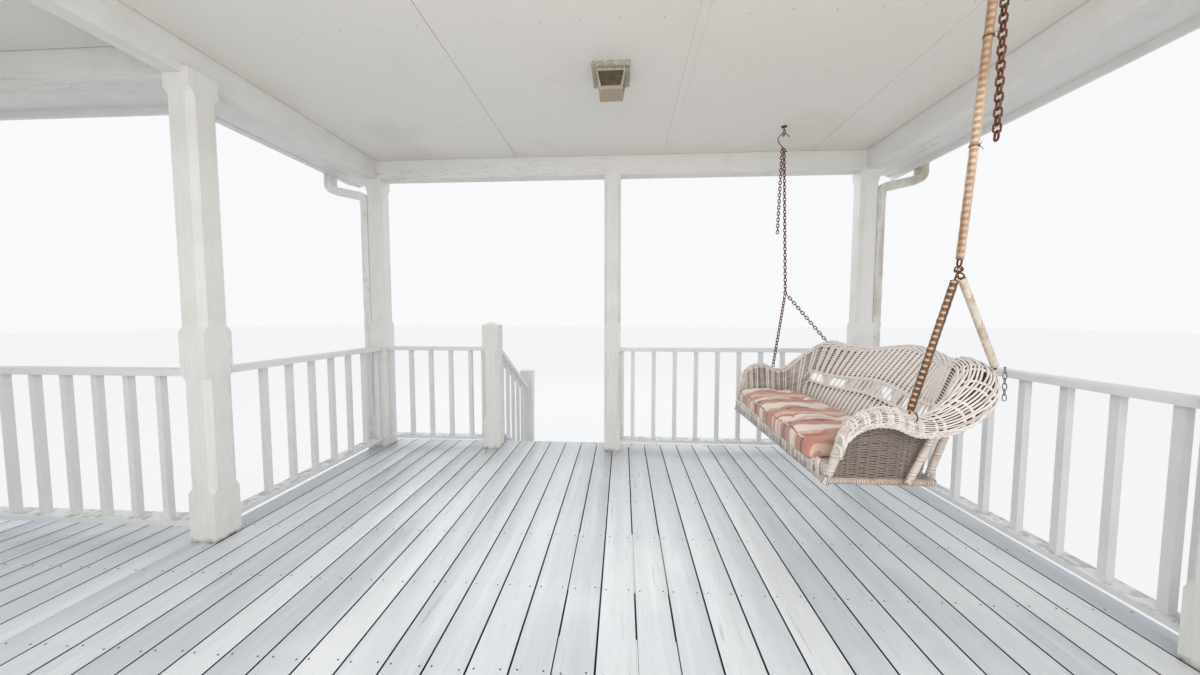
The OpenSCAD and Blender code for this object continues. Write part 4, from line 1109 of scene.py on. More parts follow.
@dataclass
class Lantern:
    """Pane under the lantern and the beaded bars along its edges."""

    finishes: Finishes
    top: float = 0.160
    foot: float = 0.124
    canopy: float = 0.010
    bar: float = 0.0030
    beads: int = 56

    def build(self) -> None:
        """Makes the pane and the bars."""
        low, high = (Vector(corner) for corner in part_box("light_housing"))
        middle = (low + high) / 2
        half = self.foot / 2 - 0.010
        pane = Bench.box("lantern_floor", (middle.x - half, middle.y - half, low.z - 0.0012),
                         (middle.x + half, middle.y + half, low.z + 0.0010), 0.0006)
        Bench.dress(pane, self.finishes.floor_glass, PORCH, "amber_glass")
        foot, head = self.foot / 2 - 0.001, self.top / 2 - 0.001
        foot_z, head_z = low.z + 0.001, high.z - self.canopy
        beads = self.bar * (1.0 + 0.28 * np.sin(np.arange(self.beads) * 1.55))
        corners = [(1, 1), (1, -1), (-1, -1), (-1, 1)]
        parts = []
        for here, ahead in zip(corners, corners[1:] + corners[:1]):
            bars = [(here, foot, foot_z, here, head, head_z)]
            bars += [(here, size, level, ahead, size, level)
                     for size, level in ((foot, foot_z), (foot + 0.003, low.z + 0.012), (head, head_z - 0.002))]
            for (a, b), start, start_z, (c, d), end, end_z in bars:
                path = Bench.line((middle.x + a * start, middle.y + b * start, start_z),
                                  (middle.x + c * end, middle.y + d * end, end_z), self.beads)
                parts.append(Bench.tube(path, beads, 8))
        Bench.dress(Bench.mesh("lantern_bars", parts), self.finishes.bronze, PORCH, "aged_bronze")


@dataclass
class Roof:
    """Shingle courses on the main slopes and on the wing."""

    plan: Plan
    finishes: Finishes
    main_slope: float = 0.4167
    wing_slope: float = 0.25
    tab: float = 0.3
    exposure: float = 0.143
    thick: float = 0.006
    ease: float = 0.0012
    cap: Point = (0.11, 0.28, 0.008)
    cap_pitch: float = 0.14
    cap_out: float = 0.10
    cap_below: float = 0.028
    cap_lap: float = 0.03

    def courses(self, name: str, seed: int, run: float, slope: float, reach: float, place: Point,
                turn: float) -> bpy.types.Object:
        """Courses of tabs on a slope that rises along +x and reaches along +y, turned and put in its place.

        Args:
            name: Name of the piece.
            seed: Seed of the tabs' tones.
            run: Level distance up the slope.
            slope: Rise for each unit of run.
            reach: Distance along the eave.
            place: The eave's corner.
            turn: Turn about the vertical, in degrees.

        Returns:
            The courses, their undersides on the slope.
        """
        angle = math.atan(slope)
        pattern = Bench.box("tab", (0.0, 0.0, 0.0), (self.exposure * 1.25, self.tab - 0.006, self.thick), self.ease)
        tilt = Matrix.Rotation(math.atan2(self.thick, self.exposure), 4, "Y")
        rise = Matrix.Rotation(-angle, 4, "Y")
        places = []
        for row in range(int(run / math.cos(angle) / self.exposure)):
            along = -((row % 2) * self.tab / 2 + (row % 3) * 0.013)
            while along < reach:
                places.append(rise @ Matrix.Translation((row * self.exposure, along, self.thick * 1.3)) @ tilt)
                along += self.tab
        made = Bench.repeat(pattern, places, name, seed)
        Bench.cut(made, (0.0, 0.001, 0.0), (0.0, -1.0, 0.0))
        Bench.cut(made, (0.0, reach - 0.001, 0.0), (0.0, 1.0, 0.0))
        made.data.transform(Matrix.Translation(place) @ Matrix.Rotation(math.radians(turn), 4, "Z"))
        return made

    def ridge(self, low: Point, high: Point) -> bpy.types.Object:
        """Caps that lap along the ridge between the main roof's corners.

        Args:
            low, high: The main roof's corners.

        Returns:
            The caps as one piece.
        """
        caps = []
        for side in (-1, 1):
            lean = Matrix.Rotation(side * math.atan(self.main_slope), 4, "Y") @ Matrix.Rotation(self.cap_lap, 4, "X")
            x, z = self.plan.middle_x + side * self.cap_out, high[2] - self.cap_below
            places = []
            y = low[1]
            while y < high[1] - 0.05:
                places.append(Matrix.Translation((x, y, z)) @ lean)
                y += self.cap_pitch
            cap = Bench.box("cap", (-self.cap[0], 0.0, 0.0), self.cap, self.ease)
            caps.append(Bench.repeat(cap, places, "caps", 31 + side))
        made = Bench.join(caps, "ridge_caps")
        Bench.cut(made, (0.0, high[1] - 0.001, 0.0), (0.0, 1.0, 0.0))
        return made

    def build(self) -> None:
        """Makes the courses and the ridge caps."""
        low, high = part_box("roof_main")
        reach, run = high[1] - low[1], (high[0] - low[0]) / 2
        eave = high[2] - run * self.main_slope
        main = (run - 0.02, self.main_slope, reach)
        left = self.courses("shingles_left", 21, *main, (low[0], low[1], eave), 0.0)
        right = self.courses("shingles_right", 22, *main, (high[0], high[1], eave), 180.0)
        wing_low, wing_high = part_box("roof_wing")
        run = wing_high[1] - wing_low[1]
        place = (wing_low[0], wing_high[1], wing_high[2] - run * self.wing_slope)
        wing = self.courses("shingles_wing", 23, run - 0.01, self.wing_slope, wing_high[0] - wing_low[0] + 0.3, place,
                            -90.0)
        Bench.cut(wing, (self.plan.middle_x, 0.0, high[2] + 0.01), Vector((self.main_slope, 0.0, -1.0)).normalized())
        for piece in (left, right, wing, self.ridge(low, high)):
            Bench.dress(piece, self.finishes.shingle, PORCH, "shingles")


@dataclass
class Strands:
    """Swept strands with their tones, gathered for one piece."""

    parts: list[Part] = field(default_factory=list)
    tones: list[np.ndarray] = field(default_factory=list)
    # One mark array for each part: 1 on the painted shade sheet.
    shade_marks: list[np.ndarray] = field(default_factory=list)

    def add(self, part: Part, tone: Union[float, np.ndarray], hollow: float = 0.0) -> None:
        """Adds one part.

        Args:
            part: Vertices and faces.
            tone: How far the paint is worn to brown cane, with painted shade added on the arms' outer faces, for each
                vertex or for all.
            hollow: 1 for the near-black sheet of painted shade between strands.
        """
        count = len(part[0])
        self.parts.append(part)
        self.tones.append(np.broadcast_to(np.asarray(tone, dtype=float), (count,)))
        self.shade_marks.append(np.full(count, hollow))

    def dress(self, name: str, finishes: Finishes, *stands_for: str) -> None:
        """Joins the strands into one piece of the swing."""
        made = Bench.mesh(name, self.parts, {"tone": self.tones, "hollow": self.shade_marks})
        Bench.dress(made, finishes.wicker, SWING, "wicker", *stands_for)


Amount = Union[float, np.ndarray]
Station = tuple[Amount, Amount, Amount]
Span = tuple[float, float]


@dataclass
class WovenSeat:
    """The hanging seat's woven wall: paired ribs and weavers on a near-black sheet of painted shade, an open band and a
    rolled edge.
    """

    plan: Plan
    finishes: Finishes
    side_u: float = 0.585
    seat_front: float = 0.355
    seat_back: float = 0.05
    corner_r: float = 0.11
    front_roll: float = 0.024
    arm_roll: float = 0.033
    back_roll: float = 0.052
    corner_roll: float = 0.014
    arm_rise: float = 0.290
    arm_drop: float = 0.15
    arm_curl: float = 0.15
    arm_dip: float = 0.035
    back_rise: float = 0.495
    hump_h: float = 0.020
    hump_run: float = 0.335
    arm_lean: float = 0.035
    back_lean: float = 0.290
    back_taper: float = 0.165
    corner_power: float = 2.45
    roll_end: float = 150.0
    weave_t: float = 0.022
    stake_count: int = 50
    pair: float = 0.155
    rib: float = 0.0056
    rib_lift: float = 0.0040
    dash: float = 0.0030
    dash_pitch: float = 0.0105
    weaver: float = 0.0035
    weaver_pitch: float = 0.0082
    weaver_lift: float = 0.0048
    # Half thickness of the painted shade sheet behind the weave.
    shade_sheet_half: float = 0.0009
    band_low: float = 0.47
    band_high: float = 0.62
    hole_level: float = 1.40
    hole_spread: float = 0.022
    rim: float = 0.0066
    rim_level: float = 1.93
    braid_r: float = 0.003
    braid_lift: float = 0.006
    skirt_pitch: float = 0.0088
    skirt_top: float = 0.058
    skirt_inset: float = 0.03
    skirt_rows: tuple[float, float] = (0.012, 0.030)

    def __post_init__(self) -> None:
        """Finds the hinge line and the seat's foot in the frame."""
        self.hinge_x, self.middle_y, self.hinge_z = (float(part) for part in frame["joints"][0]["pos_m"])
        self.foot = float(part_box("swing_weave")[0][2])
        self.arm_v = self.seat_front - self.front_roll - 0.002
        self.random = np.random.default_rng(71)

    def station(self, t: np.ndarray) -> Station:
        """Plan place and outward angle along the wall, from one arm's front round to the other's.

        Args:
            t: Places from 0 to 1.

        Returns:
            Distance along the seat, distance behind the hinge line, and outward angle in radians.
        """
        r, half_pi = self.corner_r, math.pi / 2
        a = self.arm_v + self.seat_back - r
        b = r * half_pi
        c = 2 * (self.side_u - r)
        s = np.asarray(t, dtype=float) * (2 * a + 2 * b + c)
        g1 = np.clip((s - a) / r, 0.0, half_pi)
        g2 = np.clip((s - a - b - c) / r, 0.0, half_pi)
        u = -self.side_u + r * (1 - np.cos(g1)) + np.clip(s - a - b, 0.0, c) + r * np.sin(g2)
        v = -self.arm_v + np.minimum(s, a) + r * np.sin(g1) - r * (1 - np.cos(g2)) - np.maximum(s - a - 2 * b - c, 0.0)
        return u, v, math.pi - g1 - g2

    def corner(self, side: int, degrees: float) -> Station:
        """Station on a back corner, turned from the back towards the arm.

        Args:
            side: -1 for the corner nearer the house, 1 for the other.
            degrees: The turn.

        Returns:
            The station.
        """
        turn = math.radians(degrees)
        return (side * (self.side_u - self.corner_r * (1 - math.sin(turn))),
                self.seat_back - self.corner_r * (1 - math.cos(turn)), math.pi / 2 - side * turn)

    def shape(self, station: Station) -> tuple[Amount, Amount, Amount, Amount]:
        """Crest, lean, roll and the roll's first turn at stations.

        Args:
            station: Stations from station() or corner().

        Returns:
            Three lengths and an angle, for each station.
        """
        u, v, angle = station
        back = np.maximum(0.0, np.sin(angle)) ** self.corner_power
        arm = 1 - back
        curl = np.clip((v + self.arm_v) / self.arm_curl, 0.0, 1.0)
        past = np.clip((v + self.arm_v - self.arm_curl) / (self.arm_v + self.seat_back - self.arm_curl), 0.0, 1.0)
        arm_crest = self.arm_rise - self.arm_drop * (1 - np.sqrt(1 - (1 - curl) ** 2))
        arm_crest = arm_crest - self.arm_dip * np.sin(math.pi * past) ** 2
        hump = self.hump_h * np.cos(u / self.hump_run * math.pi)
        crest = arm * arm_crest + back * (self.back_rise - self.hump_h + hump)
        share = np.minimum(1.0, np.abs(u) / (self.side_u - self.corner_r))
        lean = arm * self.arm_lean * arm_crest / self.arm_rise + back * (self.back_lean - self.back_taper * share ** 2)
        roll = (arm * (self.front_roll + (self.arm_roll - self.front_roll) * curl) + back * self.back_roll
                + self.corner_roll * np.abs(np.sin(2 * angle)) ** 1.5)
        return crest, lean, roll, np.arctan2(crest - roll, lean * 1.25)

    def place(self, station: Station, out: Amount, up: Amount) -> np.ndarray:
        """Points at stations, so far outwards and so far above the seat's foot.

        Args:
            station: Where along the wall.
            out: Distance outwards from the wall's line.
            up: Height above the foot.

        Returns:
            One point for each station.
        """
        u, v, angle = station
        return np.stack([self.hinge_x + v + out * np.sin(angle), self.middle_y + u + out * np.cos(angle),
                         self.foot + up], axis=-1)

    def surface(self, t: np.ndarray, h: np.ndarray, lift: Amount = 0.0) -> np.ndarray:
        """Points of the wall.

        Args:
            t: Places along the wall, from 0 to 1.
            h: Places up it: 0 to 1 up the wall, 1 to 2 round its rolled edge.
            lift: Distance outwards from the middle of the weave.

        Returns:
            One point for each pair.
        """
        station = self.station(t)
        crest, lean, roll, turn = self.shape(station)
        up = np.clip(h, 0.0, 1.0)
        rise = crest - roll
        g = turn - np.clip(h - 1.0, 0.0, 1.0) * (turn + math.radians(self.roll_end))
        on_roll = h > 1.0
        normal = np.where(on_roll, g, np.arctan2(rise, lean * 1.25 * np.maximum(up, 0.02) ** 0.25))
        out = np.where(on_roll, lean + roll * (np.sin(turn) - np.sin(g)), lean * up ** 1.25) + lift * np.sin(normal)
        high = np.where(on_roll, rise - roll * (np.cos(turn) - np.cos(g)), rise * up) - lift * np.cos(normal)
        return self.place(station, out, np.maximum(high, 0.0))

    def roll_place(self, station: Station, degrees: float, off: float) -> Vector:
        """Place near the rolled edge, off by a distance and turned outwards from its top.

        Args:
            station: Where along the wall.
            degrees: Turn outwards from the top of the roll.
            off: Distance from its skin.

        Returns:
            The place.
        """
        crest, lean, roll, turn = self.shape(station)
        angle = math.radians(degrees)
        return Vector(self.place(station, lean + roll * math.sin(turn) + (roll + off) * math.sin(angle),
                                 crest - roll * (1 + math.cos(turn)) + (roll + off) * math.cos(angle)))

    def worn_and_shaded(self, t: np.ndarray, h: np.ndarray, lift: Amount) -> np.ndarray:
        """How far the paint is worn to brown cane: most on the arms' walls, little on the back and on the rolled edge,
        with painted shade added on the arms' outer faces under the roll.

        Args:
            t, h: Places along the wall and up it.
            lift: Distance outwards.

        Returns:
            A tone from 0 to 1 for each place.
        """
        arm = 1.0 - np.maximum(0.0, np.sin(self.station(t)[2])) ** 2
        roll_shade = np.clip(np.asarray(lift) / self.rib_lift, 0.0, 1.0)
        # The outer-face term on the arms is painted shade under the roll; the rest is worn paint.
        return np.where(h > 1.02, 0.08 + 0.12 * arm, 0.10 + 0.30 * arm + 0.56 * roll_shade * arm)

    def strand(self, strands: Strands, t: np.ndarray, h: Amount, lift: Amount, radius: Amount, sides: int = 5,
               darker: float = 0.0) -> None:
        """Sweeps one strand over the wall.

        Args:
            strands: Where it goes.
            t, h: Places along the wall and up it.
            lift: Distance outwards.
            radius: Its radius.
            sides: Sides of its section.
            darker: Added to its tone.
        """
        h = np.broadcast_to(np.asarray(h, dtype=float), np.shape(t))
        tone = np.clip(self.worn_and_shaded(t, h, lift) + darker + self.random.uniform(-0.06, 0.12), 0.0, 1.0)
        strands.add(Bench.tube(self.surface(t, h, lift), radius, sides), np.repeat(tone, sides))

    def ribs(self, strands: Strands) -> None:
        """Fat paired strands up the inner face, crossed in the open band, and on under the roll's weave.

        Args:
            strands: Where they go.
        """
        steps = np.concatenate([np.linspace(0.0, 1.0, 19), np.linspace(1.0, 1.94, 11)[1:]])
        spacing = 1.0 / self.stake_count
        middle = (self.band_low + self.band_high) / 2
        first, last = self.band_ends()
        band = np.exp(-((steps - middle) / ((self.band_high - self.band_low) * 0.62)) ** 4)
        for i in range(self.stake_count + 1):
            crossed = band * (first - 0.5 * spacing < i * spacing < last + 0.5 * spacing)
            for side in (-1, 1):
                shift = side * (self.pair - (self.pair + 0.5) * crossed)
                t = np.clip((i + shift) * spacing, 0.0, 1.0)
                lift = -self.rib_lift * (1 - 0.8 * crossed) * (steps <= 1.0)
                self.strand(strands, t, steps, lift, self.rib * (1 - 0.25 * crossed), 6)

    def band_ends(self) -> Span:
        """Places along the wall between which the band is open: the back, without the arms."""
        a = self.arm_v + self.seat_back - self.corner_r
        b = self.corner_r * math.pi / 2
        first = (a + 0.7 * b) / (2 * a + 2 * b + 2 * (self.side_u - self.corner_r))
        first = round(first * self.stake_count) / self.stake_count
        return first, 1.0 - first

    def rows(self, low: float, high: float, pitch: float) -> np.ndarray:
        """Levels of weavers between two heights.

        Args:
            low, high: The heights.
            pitch: Distance from level to level in metres.

        Returns:
            The levels.
        """
        crest, _, roll, _ = self.shape(self.station(np.linspace(0, 1, 50)))
        mean = float(np.mean(crest)) if low < 1.0 else float(np.mean(roll)) * 3.9
        return np.arange(low, high, pitch / mean)

    def stakes(self, per: int, span: Span) -> tuple[np.ndarray, np.ndarray]:
        """Numbers and places of so many stations per stake, within a span of the wall.

        Args:
            per: Stations per stake.
            span: The first and the last place.

        Returns:
            The numbers and the places.
        """
        places = np.linspace(0.0, 1.0, self.stake_count * per + 1)
        index = np.flatnonzero((places > span[0] - 1e-6) & (places < span[1] + 1e-6))
        return index, places[index]

    def dashes(self, strands: Strands, low: float, high: float, span: Span = (0.0, 1.0)) -> None:
        """Thin level strands across the gaps between the inner face's ribs.

        Args:
            strands: Where they go.
            low, high: Heights between which they lie.
            span: Places along the wall between which they lie.
        """
        index, places = self.stakes(2, span)
        lift = np.where(index % 2 == 0, 0.0, -self.rib_lift * 0.7)
        for h in self.rows(low, high, self.dash_pitch):
            self.strand(strands, places, h, lift, self.dash, 4, 0.12)

    def weavers(self, strands: Strands, low: float, high: float, face: float, holes: float = 0.0,
                span: Span = (0.0, 1.0)) -> None:
        """Close level strands that pass over and under the stakes on one face.

        Args:
            strands: Where they go.
            low, high: Heights between which they lie.
            face: Distance of their middle from the wall's, outwards.
            holes: How far rows on the back draw apart between stakes at the hole level.
            span: Places along the wall between which they lie.
        """
        index, places = self.stakes(4, span)
        station = self.station(places)
        crest, _, roll, _ = self.shape(station)
        radius = self.weaver * np.clip(crest / 0.37 if low < 1.0 else roll / 0.046, 0.62, 1.1)
        wave = np.cos(index * math.pi / 4)
        opening = np.sin(index * math.pi / 4) ** 2 * np.maximum(0.0, np.sin(station[2])) ** 4
        for row, h in enumerate(self.rows(low, high, self.weaver_pitch)):
            side = 1 if row % 2 else -1
            away = h - self.hole_level
            spread = holes * math.copysign(1.0, away) * math.exp(-(away / 0.16) ** 2) * opening
            self.strand(strands, places, h + spread, face + side * wave * 0.0034, radius, 5, 0.12 * (row % 3 == 0))

    def painted_shade_sheet(self, strands: Strands, low: float, high: float, rows: int, span: Span = (0.0, 1.0)) -> None:
        """A near-black sheet of painted shade that closes the gaps between two heights.

        Args:
            strands: Where it goes.
            low, high: The heights.
            rows: Levels in it.
            span: Places along the wall between which it lies.
        """
        stations = np.linspace(*span, max(3, round((span[1] - span[0]) * self.stake_count) + 1))
        levels = np.linspace(low, high, rows)
        around = np.concatenate([levels, levels[::-1]])
        lifts = np.repeat((-self.shade_sheet_half, self.shade_sheet_half), rows)
        count = len(around)
        t, h = np.meshgrid(stations, around, indexing="ij")
        points = self.surface(t.ravel(), h.ravel(), np.tile(lifts, len(stations)))
        faces = [tuple(range(count)), tuple(range(len(points) - count, len(points)))]
        for start in range(0, len(points) - count, count):
            faces += Bench.quads(start, start + count, count)
        # This sheet is painted shade: full tone and the shade mark make it near-black.
        strands.add((points, faces), 1.0, 1.0)

    def patches(self, strands: Strands) -> None:
        """Close weave between the groups of openings in the band.

        Args:
            strands: Where it goes.
        """
        first, last = (round(end * self.stake_count) for end in self.band_ends())
        for i in range(first + 4, last - 1, 5):
            t = np.linspace(i - 0.45, i + 0.45, 7) * (1.0 / self.stake_count)
            for h in np.arange(self.band_low + 0.008, self.band_high, 0.0170):
                self.strand(strands, t, h, -0.0055, self.weaver)

    def braid(self, strands: Strands, h: float, radius: float, turns: int, spread: float, lift: float = 0.0,
              span: Span = (0.0, 1.0)) -> None:
        """A three-strand braid along a level of the wall.

        Args:
            strands: Where it goes.
            h: The level.
            radius: A strand's radius.
            turns: Waves along it.
            spread: Half its width, as a level.
            lift: Distance outwards.
            span: Places between which it lies.
        """
        t = np.linspace(*span, turns * 8 + 1)
        for k in range(3):
            phase = np.arange(len(t)) * 2 * math.pi / 8 + k * 2 * math.pi / 3
            level = np.minimum(h + spread * np.sin(phase), 2.0)
            self.strand(strands, t, level, lift + radius * 0.8 * np.sin(2 * phase), radius)

    def skirt(self) -> None:
        """Short strands that hang from the seat's front edge, frayed at their ends."""
        strands = Strands()
        x = self.hinge_x - self.seat_front - 0.011
        top = self.foot + self.skirt_top
        left, right = self.middle_y - self.side_u, self.middle_y + self.side_u
        for y in np.arange(left + self.skirt_inset, right - self.skirt_inset, self.skirt_pitch):
            drop, lean = self.random.uniform(0.052, 0.080), self.random.normal(0.0, 0.004)
            path = np.array([[x + 0.006, y, top], [x - 0.001, y, top - 0.022], [x, y + lean, top - drop]])
            strands.add(Bench.tube(path, self.rib, 5), self.random.uniform(0.2, 0.7))
        for level in self.skirt_rows:
            path = Bench.line((x - 0.002, left + 0.028, top - level), (x - 0.002, right - 0.028, top - level), 260)
            path[:, 0] += 0.003 * np.sin(np.arange(260) * math.pi / 2)
            strands.add(Bench.tube(path, self.weaver * 1.2, 5), 0.3)
        strands.dress("woven_skirt", self.finishes)

    def build(self) -> None:
        """Makes the woven pieces."""
        inner, web, rims = Strands(), Strands(), Strands()
        low, high = self.band_low, self.band_high
        back = self.band_ends()
        arms = ((0.0, back[0]), (back[1], 1.0))
        self.ribs(inner)
        # Sheets of painted shade close the gaps below and above the open band, and within it on the arms.
        self.painted_shade_sheet(inner, 0.0, low, 6)
        self.painted_shade_sheet(inner, high, self.rim_level, 22)
        self.dashes(inner, 0.02, low)
        self.dashes(inner, high, 1.0)
        for arm in arms:
            self.painted_shade_sheet(inner, low, high, 4, arm)
            self.dashes(inner, low, high, arm)
        self.patches(inner)
        # The ribs' piece also holds the painted shade sheets.
        inner.dress("woven_ribs_and_shade_sheet", self.finishes, "swing_weave")
        self.weavers(web, 0.01, low, self.weaver_lift)
        self.weavers(web, high, 1.0, self.weaver_lift)
        for arm in arms:
            self.weavers(web, low, high, self.weaver_lift, 0.0, arm)
        web.dress("woven_panels", self.finishes)
        self.weavers(rims, 1.02, 1.90, -0.0050, self.hole_spread)
        self.braid(rims, self.rim_level, self.rim, 52, 0.05)
        for face in (-1, 1):
            for level in (low, high):
                self.braid(rims, level, self.braid_r, 36, 0.010, face * self.braid_lift, back)
        rims.dress("woven_rims", self.finishes)
        self.skirt()


@dataclass
class SeatFrame:
    """Cane posts with rings, the level rails under the wall, and the seat's woven deck with its aprons."""

    seat: WovenSeat
    cane: float = 0.030
    deck_t: float = 0.009
    rise: float = 0.065
    ring_pitch: float = 0.062
    back_posts: int = 3

    def post(self, foot: np.ndarray, head: np.ndarray, radius: float, taper: float = 0.0) -> Part:
        """One cane post, a little thicker at its rings.

        Args:
            foot, head: Its ends.
            radius: Radius at the foot.
            taper: How much thicker the head is.

        Returns:
            Vertices and faces.
        """
        share = np.linspace(0.0, 1.0, 34)
        length = float(np.linalg.norm(head - foot))
        ring = np.exp(-(((share * length / self.ring_pitch + 0.5) % 1.0 - 0.5) / 0.10) ** 2)
        return Bench.tube(Bench.line(foot, head, 34), radius * (1.0 + taper * share) * (1.0 + 0.09 * ring), 12)

    def posts(self) -> list[Part]:
        """Front, side, corner and back posts."""
        seat = self.seat
        parts = []
        off = (seat.weave_t + self.cane) / 2 + 0.003
        for side, angle in ((-1, math.pi), (1, 0.0)):
            u = side * seat.side_u
            front = (u, -0.290, angle)
            crest, lean, roll, _ = seat.shape(front)
            parts.append(self.post(seat.place((u, -seat.seat_front, angle), 0.002, -self.cane),
                                   seat.place(front, lean + 0.004, crest - roll + 0.004), 0.0145, 0.42))
            parts.append(self.post(seat.place((u, -0.066, angle), off, -self.cane / 2),
                                   seat.place((u, 0.016, angle), off + 0.024, 0.215), 0.0125))
        reach = seat.side_u - seat.corner_r
        stations = [seat.corner(side, 30.0) for side in (-1, 1)]
        for i in range(1, self.back_posts):
            stations.append(((2 * i / self.back_posts - 1) * reach, seat.seat_back, math.pi / 2))
        for station in stations:
            crest, lean, roll, _ = seat.shape(station)
            up = crest - roll - seat.back_roll * 0.7
            head = seat.place(station, off + lean * (up / (crest - roll)) ** 1.1, up)
            parts.append(self.post(seat.place(station, off, -self.cane / 2), head, 0.0130))
        return parts

    def rails(self) -> list[Part]:
        """Level rails below the wall."""
        seat = self.seat
        level = seat.foot - self.cane / 2 - 0.001
        x0, x1 = seat.hinge_x - seat.seat_front, seat.hinge_x + seat.seat_back
        y0, y1 = seat.middle_y - seat.side_u, seat.middle_y + seat.side_u
        swell = self.cane / 2 * (0.95 + 0.05 * np.sin(np.arange(60) * 2.3))
        runs = [((x0, y0), (x0, y1)), ((x1, y0), (x1, y1)), ((x0, y0), (x1, y0)), ((x0, y1), (x1, y1))]
        return [Bench.tube(Bench.line((*start, level), (*end, level), 60), swell, 12) for start, end in runs]

    def deck(self) -> bpy.types.Object:
        """The seat's deck inside the wall, with an apron in front and one behind."""
        seat = self.seat
        level = seat.foot - self.cane / 2 - 0.001
        inner = seat.side_u - seat.weave_t
        bend = seat.corner_r - seat.weave_t / 2
        back = seat.seat_back - seat.weave_t
        turn = np.linspace(0.0, math.pi / 2, 9)
        corner = [(back - bend + bend * math.sin(a), inner - bend + bend * math.cos(a)) for a in turn]
        far = [(v, -u) for v, u in reversed(corner)]
        outline = [(-seat.seat_front, inner), *corner, *far, (-seat.seat_front, -inner)]
        count = len(outline)
        points = np.array([(seat.hinge_x + v, seat.middle_y + u, level + self.rise - drop)
                           for drop in (self.deck_t, 0.0) for v, u in outline])
        faces = [tuple(range(count)), tuple(range(count, 2 * count)), *Bench.quads(0, count, count)]
        pieces = [Bench.mesh("seat_deck", [(points, faces)], shade=False)]
        for x in (seat.hinge_x - seat.seat_front, seat.hinge_x + back - seat.corner_r):
            pieces.append(Bench.box("apron", (x - 0.0045, seat.middle_y - inner, level),
                                    (x + 0.0045, seat.middle_y + inner, level + self.rise - 0.0045), 0.002))
        return Bench.join(pieces, "seat_deck")

    def build(self) -> None:
        """Makes the frame."""
        cane = self.seat.finishes.post_cane
        Bench.dress(Bench.mesh("cane_posts", self.posts() + self.rails()), cane, SWING, "wicker", "swing_frame")
        Bench.dress(self.deck(), cane, SWING, "wicker")


